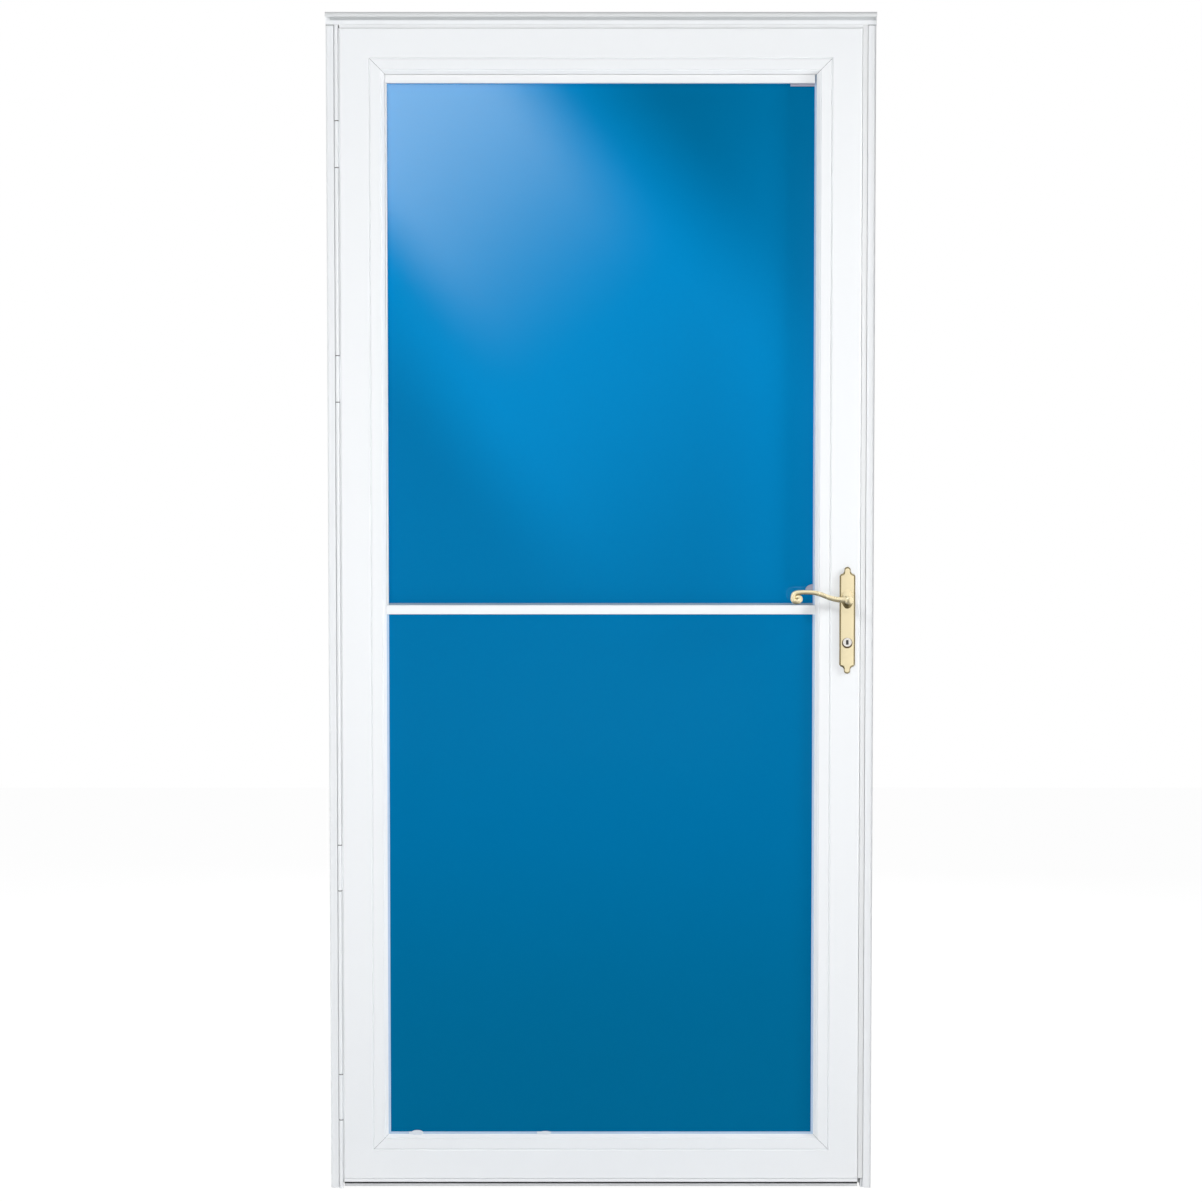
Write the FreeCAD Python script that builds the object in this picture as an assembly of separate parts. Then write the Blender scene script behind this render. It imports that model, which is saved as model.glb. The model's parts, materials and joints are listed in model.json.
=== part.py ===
"""Full-view aluminium storm door hung in its own jambs, seen from the street at -Y.

X runs from the hinge side to the latch side, +Y into the house and +Z up. The origin lies on
the back of the hinge jamb's flange, at its foot and mid-width, where it meets the house.
"""
import FreeCAD, Part
import math
import os
from FreeCAD import Vector

# Driving dimensions in millimetres.

# The unit over its jambs
unit_width = 950.0
unit_height = 2050.0

# Jamb extrusion: flange, hollow nose, leg into the opening, stop
flange_width = 17.0
flange_thickness = 1.6
nose_width = 14.0
nose_depth = 8.0
nose_edge_radius = 4.0
nose_inner_radius = 1.0
jamb_wall = 1.4
leg_end_setback = 3.0
stop_front = 30.0
stop_reach = 13.2
head_height = 21.5
cap_height = 8.5
cap_reach = 12.0
cap_radius = 6.0

# Screw holes through the jamb legs
screw_hole_radius = 2.25
screw_hole_depth = 14.0
screw_outer_spacing = 1350.0
screw_inner_spacing = 450.0
screw_mid_height = 975.0

# Pile seals on the stops
seal_base_width = 6.0
seal_base_height = 1.0
seal_pile_width = 3.0
seal_gap = 1.0
seal_edge_inset = 1.0

# Hinge barrel along the hinge jamb, with four leaves on the door
axis_inset = 18.5
axis_setback = 10.5
barrel_radius = 3.5
pin_radius = 1.7
pin_press = 0.02
pin_bite = 15.0
knuckle_fit = 0.08
knuckle_end_gap = 0.7
hinge_length = 79.0
leaf_thickness = 2.0
leaf_width = 24.5
hinges_from_foot = (162.0, 567.0)
hinges_from_head = (608.5, 204.5)

# Door slab of mitred hollow members
slab_front = -14.0
slab_depth = 38.0
hinge_edge_gap = 5.0
latch_edge_gap = 5.8
head_gap = 5.5
foot_gap = 17.5
member_width = 52.0
member_wall = 1.5
member_edge_radius = 2.5
member_back_radius = 1.5
groove_size = 2.0

# Sweep under the bottom rail
channel_height = 5.5
channel_inset = 1.0
channel_wall = 1.4
fin_thickness = 2.0
fin_floor_gap = 3.0
fin_inset = 7.0
fin_bead_width = 5.0
fin_bead_height = 3.0

# Glazing insert, its two lanes and what rides in them
bead_set_in = 0.5
bead_flat = 18.5
bead_step = 2.0
bead_ledge = 2.5
bead_reach = 26.0
bead_wall = 1.4
nose_back = -5.6
nose_tip_thickness = 0.8
lane_floor = 18.0
front_lane_back = 0.0
rear_lane_front = 1.5
rear_lane_back = 12.5
insert_back = 14.0
lane_play = 1.0

# Lower pane with its tinted film, gasket and clips
lower_glass_front = -5.2
lower_glass_thickness = 4.0
film_thickness = 0.5
gasket_width = 4.0
gasket_thickness = 1.2
clip_width = 23.0
clip_height = 4.4
clip_thickness = 1.6
clip_places = (36.0, 261.0)

# Meeting bar between the panes
bar_low = 1011.0
bar_height = 16.0
bar_front = -9.0
bar_cap_thickness = 3.4
bar_web_height = 6.0
bar_edge_radius = 1.5

# Upper sash in the rear lane
sash_front = 2.3
sash_depth = 9.7
sash_stile_show = 3.0
sash_head_show = 15.0
sash_foot_height = 22.0
sash_glass_setback = 3.2
sash_glass_thickness = 3.0
sash_slot_depth = 6.0
sash_slot_play = 0.2
sash_wall = 1.2
tab_width = 42.0
tab_height = 5.0
tab_thickness = 1.8
catch_width = 13.0
catch_height = 10.0
catch_thickness = 2.6
catch_level = 1058.0

# Lever set: escutcheon plates, levers, key cylinder and lock case
handle_inset = 22.4
handle_level = 1001.0
outside_plate_width = 27.0
inside_plate_width = 20.0
inside_plate_length = 186.0
plate_straight = 155.0
plate_thickness = 4.0
plate_bevel = 2.4
plate_bevel_height = 2.2
shoulder_drop = 3.0
shoulder_step = 2.5
cove_depth = 6.5
finial_half = 5.3
finial_rise = 6.0
round_share = 0.3
lever_rise = 37.0
lever_stand = 38.0
lever_running_gap = 0.3
rose_radius = 10.0
rose_thickness = 6.6
neck_radius = 6.0
hub_radius = 8.0
hub_length = 13.0
spindle_side = 8.0
spindle_clearance = 0.6
spindle_seat = 16.0
key_drop = 38.0
ring_radius = 7.5
ring_proud = 1.5
plug_radius = 5.5
plug_clearance = 0.08
bore_clearance = 0.2
keyway_width = 3.0
keyway_height = 8.0
keyway_depth = 6.0
turn_boss_radius = 7.0
turn_boss_thickness = 3.0
turn_width = 4.0
turn_height = 22.0
turn_reach = 14.0
turn_bevel = 1.2
case_margin = 28.0
case_depth = 38.0
case_thickness = 18.0
faceplate_width = 22.0
faceplate_margin = 14.0
bolt_width = 12.0
bolt_height = 18.0
bolt_setback = 0.5
strike_width = 24.0
strike_height = 120.0
strike_hole_width = 14.0
strike_hole_height = 26.0

# Lever arm seen from the street, from the pivot: (left, up) ends and (left, up, bend radius) corners
lever_route = (
    (0.0, 0.0),
    (22.0, 0.5, 60.0),
    (62.0, 13.6, 60.0),
    (97.0, 13.6, 9.0),
    (97.0, -1.8, 4.6),
    (89.0, -1.8),
)
lever_bar_radius = 4.2

# A swept bar's bends: degrees that one chord spans, and the sweep's code for mitred corners
chord_turn = 45.0
right_corners = 1

# Places worked out from the driving dimensions
hinge_side = -flange_width / 2
latch_side = hinge_side + unit_width
jamb_top = unit_height - head_height
leg_inner = flange_width + jamb_wall
stop_back = stop_front + jamb_wall
stop_tip = leg_inner + stop_reach
axis_x = hinge_side + axis_inset
axis_y = -axis_setback
slab_left = axis_x + hinge_edge_gap
slab_right = latch_side - leg_inner - latch_edge_gap
slab_low = foot_gap
slab_high = jamb_top - head_gap
slab_back = slab_front + slab_depth
slab = (slab_left, slab_right, slab_low, slab_high)
insert = (
    slab_left + member_width,
    slab_right - member_width,
    slab_low + member_width,
    slab_high - member_width,
)
insert_left, insert_right, insert_low, insert_high = insert
bead_front = slab_front + bead_set_in
lower_glass_back = lower_glass_front + lower_glass_thickness
pane_left = insert_left + lane_floor + lane_play
pane_right = insert_right - lane_floor - lane_play
pane_low = insert_low + lane_floor + lane_play
bar_high = bar_low + bar_height
bar_web_low = bar_high - bar_web_height
sash_back = sash_front + sash_depth
sash_left = insert_left + lane_floor + lane_play
sash_right = insert_right - lane_floor - lane_play
sash_high = insert_high - lane_floor - lane_play
sash_low = bar_low - (sash_foot_height - bar_height) / 2
sash_stile_width = bead_reach - lane_floor - lane_play + sash_stile_show
sash_head_height = bead_reach - lane_floor - lane_play + sash_head_show
sash_glass_front = sash_front + sash_glass_setback
sash_glass_back = sash_glass_front + sash_glass_thickness
handle_x = slab_right - handle_inset
lever_level = handle_level + lever_rise
key_level = handle_level - key_drop
case_low = key_level - case_margin
case_high = lever_level + case_margin
case_mid = (case_low + case_high) / 2
plate_front = slab_front - plate_thickness
plate_back = slab_back + plate_thickness
slab_middle = (slab_front + slab_back) / 2
hinge_levels = list(hinges_from_foot) + [jamb_top - drop for drop in hinges_from_head]


def rounded_corner(before, corner, after):
    """Start, middle and end of the arc at a corner given as (a, b, radius)."""
    point = Vector(corner[0], corner[1], 0)
    radius = corner[2]
    back = (Vector(before[0], before[1], 0) - point).normalize()
    ahead = (Vector(after[0], after[1], 0) - point).normalize()
    half_angle = back.getAngle(ahead) / 2
    run = radius / math.tan(half_angle)
    inward = (back + ahead).normalize()
    middle = point + inward * (radius / math.sin(half_angle) - radius)
    return point + back * run, middle, point + ahead * run


def outline_face(corners, place):
    """Face inside a closed outline of (a, b) or (a, b, radius) corners; place sets a point in space."""
    stations = []
    for index, corner in enumerate(corners):
        if len(corner) == 3:
            before = corners[index - 1]
            after = corners[(index + 1) % len(corners)]
            stations.append(rounded_corner(before, corner, after))
        else:
            stations.append((Vector(corner[0], corner[1], 0),))
    edges = []
    for here, following in zip(stations, stations[1:] + stations[:1]):
        if len(here) == 3:
            edges.append(Part.Arc(*[place(point) for point in here]).toShape())
        edges.append(Part.makeLine(place(here[-1]), place(following[0])))
    return Part.Face(Part.Wire(edges))


def box(x_span, y_span, z_span):
    """Block between two places on each axis."""
    low = Vector(x_span[0], y_span[0], z_span[0])
    return Part.makeBox(x_span[1] - x_span[0], y_span[1] - y_span[0], z_span[1] - z_span[0], low)


def rod(radius, start, end):
    """Round bar between two points."""
    return Part.makeCylinder(radius, (end - start).Length, start, end - start)


def bent_bar(route, radius, place):
    """Round bar swept along a route of straight runs and bends, each bend as a few mitred chords."""
    points = [place(Vector(*route[0], 0))]
    for before, corner, after in zip(route, route[1:], route[2:]):
        start, middle, end = [place(point) for point in rounded_corner(before, corner, after)]
        bend = Part.Arc(start, middle, end).toShape()
        turn = math.degrees(bend.LastParameter - bend.FirstParameter)
        points += bend.discretize(math.ceil(turn / chord_turn) + 1)
    points.append(place(Vector(*route[-1], 0)))
    section = Part.Wire(Part.makeCircle(radius, points[0], points[1] - points[0]))
    return Part.Wire(Part.makePolygon(points)).makePipeShell([section], True, False, right_corners)


def ring_side(side, ring, outer, hollow=None):
    """One mitred side of a rectangular ring, from an outline of (inward, y) corners."""
    left, right, low, high = ring
    places = {
        "left": lambda p: Vector(left + p.x, p.y, low),
        "right": lambda p: Vector(right - p.x, p.y, low),
        "bottom": lambda p: Vector(left, p.y, low + p.x),
        "top": lambda p: Vector(left, p.y, high - p.x),
    }
    upright = side in ("left", "right")
    run = Vector(0, 0, high - low) if upright else Vector(right - left, 0, 0)
    bar = outline_face(outer, places[side]).extrude(run)
    if hollow:
        bar = bar.cut(outline_face(hollow, places[side]).extrude(run))
    reach = max(corner[0] for corner in outer)
    front = min(corner[1] for corner in outer)
    back = max(corner[1] for corner in outer)
    mitres = {
        "left": ((left, low), (left + reach, low + reach), (left + reach, high - reach), (left, high)),
        "right": ((right, low), (right, high), (right - reach, high - reach), (right - reach, low + reach)),
        "bottom": ((left, low), (right, low), (right - reach, low + reach), (left + reach, low + reach)),
        "top": ((left, high), (left + reach, high - reach), (right - reach, high - reach), (right, high)),
    }
    wedge = outline_face(mitres[side], lambda p: Vector(p.x, front, p.y))
    return bar.common(wedge.extrude(Vector(0, back - front, 0))).Solids[0]


def jamb_plan(edge, inward):
    """Place for a side jamb's section: distance in from its outer edge, and y."""
    return lambda p: Vector(edge + inward * p.x, p.y, 0)


def side_jamb(edge, inward, leg_end):
    """Side jamb extrusion: flange, hollow nose, leg with screw holes, and the stop at its end."""
    section = (
        (0, 0),
        (flange_width, 0),
        (flange_width, stop_back),
        (stop_tip, stop_back),
        (stop_tip, stop_front),
        (leg_inner, stop_front),
        (leg_inner, leg_end),
        (flange_width, leg_end),
        (flange_width, -flange_thickness),
        (nose_width, -flange_thickness),
        (nose_width, -nose_depth, nose_inner_radius),
        (0, -nose_depth, nose_edge_radius),
    )
    chamber = (
        (jamb_wall, -flange_thickness),
        (nose_width - jamb_wall, -flange_thickness),
        (nose_width - jamb_wall, jamb_wall - nose_depth),
        (jamb_wall, jamb_wall - nose_depth, nose_edge_radius - jamb_wall),
    )
    plan = jamb_plan(edge, inward)
    rise = Vector(0, 0, jamb_top)
    jamb = outline_face(section, plan).extrude(rise).cut(outline_face(chamber, plan).extrude(rise))
    for spacing in (screw_outer_spacing, screw_inner_spacing):
        for level in (screw_mid_height - spacing / 2, screw_mid_height + spacing / 2):
            start = plan(Vector(nose_width, screw_hole_depth, 0)) + Vector(0, 0, level)
            end = plan(Vector(stop_tip, screw_hole_depth, 0)) + Vector(0, 0, level)
            jamb = jamb.cut(rod(screw_hole_radius, start, end))
    return jamb


def hinge_jamb():
    """Hinge jamb: its leg carries an extruded barrel with a pin channel, notched at each hinge."""
    jamb = side_jamb(hinge_side, 1, axis_y + barrel_radius - jamb_wall / 2)
    foot = Vector(axis_x, axis_y, 0)
    head = foot + Vector(0, 0, jamb_top)
    jamb = jamb.fuse(rod(barrel_radius, foot, head)).removeSplitter()
    jamb = jamb.cut(rod(pin_radius + pin_press, foot, head))
    notch_half = hinge_length / 2 + knuckle_end_gap
    notch_x = (axis_x - barrel_radius - knuckle_end_gap, axis_x + barrel_radius + knuckle_end_gap)
    notch_y = (axis_y - barrel_radius - knuckle_end_gap, axis_y + barrel_radius + knuckle_end_gap)
    for level in hinge_levels:
        jamb = jamb.cut(box(notch_x, notch_y, (level - notch_half, level + notch_half)))
    return jamb.Solids[0]


def pin_ends(level):
    """Both ends of the hinge pin at one level."""
    half = hinge_length / 2 + knuckle_end_gap + pin_bite
    return Vector(axis_x, axis_y, level - half), Vector(axis_x, axis_y, level + half)


def hinge_pins():
    """Four pins through the knuckles into the barrel above and below."""
    return Part.makeCompound([rod(pin_radius, *pin_ends(level)) for level in hinge_levels])


def hinge_leaf(level):
    """Door leaf of one hinge: a plate on the door's edge with its knuckle on the pin."""
    low = level - hinge_length / 2
    rise = Vector(0, 0, hinge_length)
    plate_x = (slab_left - leaf_thickness, slab_left)
    plate = box(plate_x, (axis_y, axis_y + leaf_width), (low, low + hinge_length))
    foot = Vector(axis_x, axis_y, low)
    leaf = plate.fuse(rod(barrel_radius, foot, foot + rise)).removeSplitter()
    return leaf.cut(rod(pin_radius + knuckle_fit, foot, foot + rise)).Solids[0]


def latch_jamb():
    """Latch jamb: the same extrusion without a barrel, its leg cut out for the strike plate."""
    jamb = side_jamb(latch_side, -1, leg_end_setback - nose_depth)
    return jamb.cut(strike_blank()).Solids[0]


def strike_blank():
    """Space of the strike plate, flush in the latch jamb's leg."""
    leg_x = (latch_side - leg_inner, latch_side - flange_width)
    strike_y = (slab_middle - strike_width / 2, slab_middle + strike_width / 2)
    return box(leg_x, strike_y, (case_mid - strike_height / 2, case_mid + strike_height / 2))


def strike_plate():
    """Strike plate with the hole that takes the latch."""
    leg_x = (latch_side - leg_inner, latch_side - flange_width)
    hole_y = (slab_middle - strike_hole_width / 2, slab_middle + strike_hole_width / 2)
    hole_z = (case_mid - strike_hole_height / 2, case_mid + strike_hole_height / 2)
    return strike_blank().cut(box(leg_x, hole_y, hole_z))


def head_jamb():
    """Head jamb across both side jambs: flange, hollow nose, shelf, and a stop coped between theirs."""
    section = (
        (0, unit_height),
        (0, jamb_top + jamb_wall),
        (stop_back, jamb_top + jamb_wall),
        (stop_back, jamb_top),
        (-nose_depth, jamb_top, nose_inner_radius),
        (-nose_depth, unit_height, nose_inner_radius),
    )
    chamber = (
        (-flange_thickness, unit_height - jamb_wall),
        (-flange_thickness, jamb_top + jamb_wall),
        (jamb_wall - nose_depth, jamb_top + jamb_wall),
        (jamb_wall - nose_depth, unit_height - jamb_wall),
    )
    run = Vector(unit_width, 0, 0)
    bar = outline_face(section, lambda p: Vector(hinge_side, p.x, p.y)).extrude(run)
    bar = bar.cut(outline_face(chamber, lambda p: Vector(hinge_side, p.x, p.y)).extrude(run))
    stop_x = (hinge_side + stop_tip, latch_side - stop_tip)
    stop = box(stop_x, (stop_front, stop_back), (jamb_top - stop_reach, jamb_top + jamb_wall))
    return bar.fuse(stop).removeSplitter().Solids[0]


def drip_cap():
    """Drip cap: a hood with a rounded nose in front of the head jamb, open underneath."""
    back = -nose_depth
    front = back - cap_reach
    low = unit_height - cap_height
    hood = (
        (back, unit_height),
        (front, unit_height, cap_radius),
        (front, low),
        (front + jamb_wall, low),
        (front + jamb_wall, unit_height - jamb_wall, cap_radius - jamb_wall),
        (back - jamb_wall, unit_height - jamb_wall),
        (back - jamb_wall, low),
        (back, low),
    )
    return outline_face(hood, lambda p: Vector(hinge_side, p.x, p.y)).extrude(Vector(unit_width, 0, 0))


def seal_section(offset):
    """Pile seal's outline: base on the stop, pile standing towards the door; offset is its middle."""
    base_half = seal_base_width / 2
    pile_half = seal_pile_width / 2
    base_front = stop_front - seal_base_height
    tip = slab_back + seal_gap
    return (
        (offset - base_half, stop_front),
        (offset - base_half, base_front),
        (offset - pile_half, base_front),
        (offset - pile_half, tip),
        (offset + pile_half, tip),
        (offset + pile_half, base_front),
        (offset + base_half, base_front),
        (offset + base_half, stop_front),
    )


def side_seal(edge, inward):
    """Pile seal up a side jamb's stop, to the head's stop."""
    middle = stop_tip - seal_edge_inset - seal_base_width / 2
    rise = Vector(0, 0, jamb_top)
    return outline_face(seal_section(middle), jamb_plan(edge, inward)).extrude(rise)


def head_seal():
    """Pile seal along the head's stop, between the side jambs' stops."""
    level = jamb_top - stop_reach + seal_edge_inset + seal_base_width / 2
    start = hinge_side + stop_tip
    run = Vector(unit_width - 2 * stop_tip, 0, 0)
    return outline_face(seal_section(level), lambda p: Vector(start, p.y, p.x)).extrude(run)


def slab_member(side):
    """Mitred hollow stile or rail, rounded outside and chamfered at the glazing insert."""
    outer = (
        (0, slab_front, member_edge_radius),
        (member_width - groove_size, slab_front),
        (member_width, slab_front + groove_size),
        (member_width, slab_back, member_back_radius),
        (0, slab_back, member_back_radius),
    )
    far = member_width - member_wall
    hollow = (
        (member_wall, slab_front + member_wall, member_edge_radius - member_wall),
        (far - groove_size, slab_front + member_wall),
        (far, slab_front + member_wall + groove_size),
        (far, slab_back - member_wall),
        (member_wall, slab_back - member_wall),
    )
    return ring_side(side, slab, outer, hollow)


def latch_stile():
    """Latch stile with the lock's cut-outs: faceplate slot in its edge, spindle and cylinder holes."""
    stile = slab_member("right").cut(faceplate_blank())
    for radius, level in (
        (spindle_hole_radius(), lever_level),
        (ring_radius + bore_clearance, key_level),
    ):
        start = Vector(handle_x, slab_front, level)
        stile = stile.cut(rod(radius, start, start + Vector(0, slab_depth, 0)))
    return stile.Solids[0]


def spindle_hole_radius():
    """Round hole that the square spindle turns in."""
    return spindle_side / math.sqrt(2) + spindle_clearance


def faceplate_blank():
    """Space of the lock's faceplate, flush in the latch stile's edge."""
    plate_y = (slab_middle - faceplate_width / 2, slab_middle + faceplate_width / 2)
    plate_z = (case_low - faceplate_margin, case_high + faceplate_margin)
    return box((slab_right - member_wall, slab_right), plate_y, plate_z)


def lock_case():
    """Mortise lock inside the latch stile: case, flush faceplate and the latch drawn back."""
    case_x = (slab_right - member_wall - case_depth, slab_right - member_wall)
    case_y = (slab_middle - case_thickness / 2, slab_middle + case_thickness / 2)
    case = box(case_x, case_y, (case_low, case_high))
    lock = case.fuse(faceplate_blank()).removeSplitter()
    bolt_y = (slab_middle - bolt_width / 2, slab_middle + bolt_width / 2)
    bolt_z = (case_mid - bolt_height / 2, case_mid + bolt_height / 2)
    lock = lock.cut(box((slab_right - bolt_setback, slab_right), bolt_y, bolt_z))
    for radius, level in (
        (spindle_hole_radius(), lever_level),
        (ring_radius + bore_clearance, key_level),
    ):
        start = Vector(handle_x, slab_front, level)
        lock = lock.cut(rod(radius, start, start + Vector(0, slab_depth, 0)))
    return lock.Solids[0]


def sweep_channel():
    """Channel under the bottom rail, open downwards, that holds the sweep's fins."""
    span = (slab_left, slab_right)
    front = slab_front + channel_inset
    back = slab_back - channel_inset
    low = slab_low - channel_height
    block = box(span, (front, back), (low, slab_low))
    inner = box(span, (front + channel_wall, back - channel_wall), (low, slab_low - channel_wall))
    return block.cut(inner)


def sweep_fins():
    """Two vinyl fins that hang from the channel to just above the sill."""
    top = slab_low - channel_wall
    fins = []
    for middle in (slab_front + fin_inset, slab_back - fin_inset):
        bead_half = fin_bead_width / 2
        fin_half = fin_thickness / 2
        bead_low = top - fin_bead_height
        section = (
            (middle - bead_half, top),
            (middle + bead_half, top),
            (middle + bead_half, bead_low),
            (middle + fin_half, bead_low),
            (middle + fin_half, fin_floor_gap),
            (middle - fin_half, fin_floor_gap),
            (middle - fin_half, bead_low),
            (middle - bead_half, bead_low),
        )
        face = outline_face(section, lambda p: Vector(slab_left, p.x, p.y))
        fins.append(face.extrude(Vector(slab_right - slab_left, 0, 0)))
    return Part.makeCompound(fins)


def bead(side):
    """Mitred side of the glazing insert: flat, step and bevel outside, two glazing lanes behind."""
    ledge_y = bead_front + bead_step
    ledge_start = bead_flat + bead_step / 2
    ledge_end = ledge_start + bead_ledge - bead_step / 2
    tip_y = nose_back - nose_tip_thickness
    outer = (
        (0, bead_front + groove_size),
        (groove_size, bead_front),
        (bead_flat, bead_front),
        (ledge_start, ledge_y),
        (ledge_end, ledge_y),
        (bead_reach, tip_y),
        (bead_reach, nose_back),
        (lane_floor, nose_back),
        (lane_floor, front_lane_back),
        (bead_reach, front_lane_back),
        (bead_reach, rear_lane_front),
        (lane_floor, rear_lane_front),
        (lane_floor, rear_lane_back),
        (bead_reach, rear_lane_back),
        (bead_reach, insert_back),
        (0, insert_back),
    )
    wall = bead_wall
    hollow = (
        (wall, bead_front + groove_size),
        (groove_size + wall / 2, bead_front + wall),
        (bead_flat - wall / 2, bead_front + wall),
        (lane_floor - wall / 2, ledge_y + wall),
        (lane_floor - wall, nose_back),
        (lane_floor - wall, insert_back - wall),
        (wall, insert_back - wall),
    )
    return ring_side(side, insert, outer, hollow)


def lower_pane():
    """Lower glass, its edges in the front lanes and its top edge behind the meeting bar."""
    glass_y = (lower_glass_front, lower_glass_back)
    return box((pane_left, pane_right), glass_y, (pane_low, bar_web_low))


def lower_film():
    """Tinted film on the back of the lower glass."""
    film_y = (lower_glass_back, lower_glass_back + film_thickness)
    return box((pane_left, pane_right), film_y, (pane_low, bar_web_low))


def lower_gasket():
    """Vinyl gasket on the lower glass, out from the insert's nose at both sides and the bottom."""
    strip_y = (lower_glass_front - gasket_thickness, lower_glass_front)
    left = insert_left + bead_reach
    right = insert_right - bead_reach
    low = insert_low + bead_reach
    whole = box((left, right), strip_y, (low, bar_low))
    inner_x = (left + gasket_width, right - gasket_width)
    return whole.cut(box(inner_x, strip_y, (low + gasket_width, bar_low)))


def pane_clips():
    """Clips that hold the lower gasket down at the bottom of the glass."""
    front = lower_glass_front - gasket_thickness
    low = insert_low + bead_reach
    clips = []
    for place in clip_places:
        left = insert_left + bead_reach + place
        clip_y = (front - clip_thickness, front)
        clips.append(box((left, left + clip_width), clip_y, (low, low + clip_height)))
    return Part.makeCompound(clips)


def meeting_bar():
    """Bar where the panes meet: a rounded cap over the lower glass, tongued into the front lanes."""
    cap_back = bar_front + bar_cap_thickness
    web_back = front_lane_back - sash_slot_play
    section = (
        (bar_front, bar_low, bar_edge_radius),
        (cap_back, bar_low),
        (cap_back, bar_web_low),
        (web_back, bar_web_low),
        (web_back, bar_high),
        (bar_front, bar_high, bar_edge_radius),
    )
    left = insert_left + bead_reach
    right = insert_right - bead_reach
    bar = outline_face(section, lambda p: Vector(left, p.x, p.y)).extrude(Vector(right - left, 0, 0))
    tongue = box((pane_left, pane_right), (cap_back, web_back), (bar_web_low, bar_high))
    return bar.fuse(tongue).removeSplitter().Solids[0]


def sash_bar(across, place, run):
    """Sash member: a slim hollow bar with a slot for the upper glass in its inner edge."""
    slot_front = sash_glass_front - sash_slot_play
    slot_back = sash_glass_back + film_thickness + sash_slot_play
    floor = across - sash_slot_depth
    section = (
        (0, sash_front),
        (across, sash_front),
        (across, slot_front),
        (floor, slot_front),
        (floor, slot_back),
        (across, slot_back),
        (across, sash_back),
        (0, sash_back),
    )
    chamber = (
        (sash_wall, sash_front + sash_wall),
        (floor - sash_wall, sash_front + sash_wall),
        (floor - sash_wall, sash_back - sash_wall),
        (sash_wall, sash_back - sash_wall),
    )
    return outline_face(section, place).extrude(run).cut(outline_face(chamber, place).extrude(run))


def sash_stile(edge, inward):
    """Side of the upper sash, running in the rear lane."""
    rise = Vector(0, 0, sash_high - sash_low)
    return sash_bar(sash_stile_width, lambda p: Vector(edge + inward * p.x, p.y, sash_low), rise)


def sash_rail(height, level, inward):
    """Top or bottom rail of the upper sash, between its stiles."""
    left = sash_left + sash_stile_width
    run = Vector(sash_right - sash_stile_width - left, 0, 0)
    return sash_bar(height, lambda p: Vector(left, p.y, level + inward * p.x), run)


def sash_sheet(front, thickness):
    """Sheet held in the upper sash's slots on all four sides."""
    tuck = sash_slot_depth - sash_slot_play
    sheet_x = (sash_left + sash_stile_width - tuck, sash_right - sash_stile_width + tuck)
    sheet_z = (sash_low + sash_foot_height - tuck, sash_high - sash_head_height + tuck)
    return box(sheet_x, (front, front + thickness), sheet_z)


def sash_tab():
    """Pull tab under the sash's top rail, at the latch end."""
    right = sash_right - sash_stile_width
    high = sash_high - sash_head_height
    tab_y = (sash_front, sash_front + tab_thickness)
    return box((right - tab_width, right), tab_y, (high - tab_height, high))


def sash_catch():
    """Finger catch on the sash's latch side, above the meeting bar."""
    right = sash_right - sash_stile_width
    catch_y = (sash_front, sash_front + catch_thickness)
    low = catch_level - catch_height / 2
    return box((right - catch_width, right), catch_y, (low, low + catch_height))


def plate_end(width, y, inset, end):
    """Edges over one end of the outside plate: shoulder, cove, round finial, cove and shoulder."""
    half = width / 2 - inset
    shoulder_half = half - shoulder_step
    neck_half = finial_half - inset / 2
    straight = handle_level + end * plate_straight / 2
    shoulder = straight + end * (shoulder_drop - inset)
    neck = shoulder + end * cove_depth
    tip = neck + end * finial_rise

    def point(side, across, level):
        return Vector(handle_x + end * side * across, y, level)

    cove = (neck_half + (shoulder_half - neck_half) * round_share, shoulder + end * cove_depth * round_share)
    rise = (
        Part.LineSegment(point(1, half, straight), point(1, shoulder_half, shoulder)),
        Part.Arc(point(1, shoulder_half, shoulder), point(1, *cove), point(1, neck_half, neck)),
        Part.Arc(point(1, neck_half, neck), point(1, 0, tip), point(-1, neck_half, neck)),
        Part.Arc(point(-1, neck_half, neck), point(-1, *cove), point(-1, shoulder_half, shoulder)),
        Part.LineSegment(point(-1, shoulder_half, shoulder), point(-1, half, straight)),
    )
    return [stretch.toShape() for stretch in rise]


def ornate_outline(width, y, inset):
    """Closed outline of the outside plate at one level, drawn in by the inset all round."""
    half = width / 2 - inset
    high = handle_level + plate_straight / 2
    low = handle_level - plate_straight / 2
    left_side = Part.makeLine(Vector(handle_x - half, y, high), Vector(handle_x - half, y, low))
    right_side = Part.makeLine(Vector(handle_x + half, y, low), Vector(handle_x + half, y, high))
    top = plate_end(width, y, inset, 1)
    bottom = plate_end(width, y, inset, -1)
    return Part.Wire(top + [left_side] + bottom + [right_side])


def oblong_outline(width, y, inset):
    """Closed outline of the inside plate at one level: straight sides and round ends."""
    half = width / 2 - inset
    high = handle_level + (inside_plate_length - width) / 2
    low = handle_level - (inside_plate_length - width) / 2

    def point(across, level):
        return Vector(handle_x + across, y, level)

    return Part.Wire([
        Part.Arc(point(half, high), point(0, high + half), point(-half, high)).toShape(),
        Part.makeLine(point(-half, high), point(-half, low)),
        Part.Arc(point(-half, low), point(0, low - half), point(half, low)).toShape(),
        Part.makeLine(point(half, low), point(half, high)),
    ])


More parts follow.
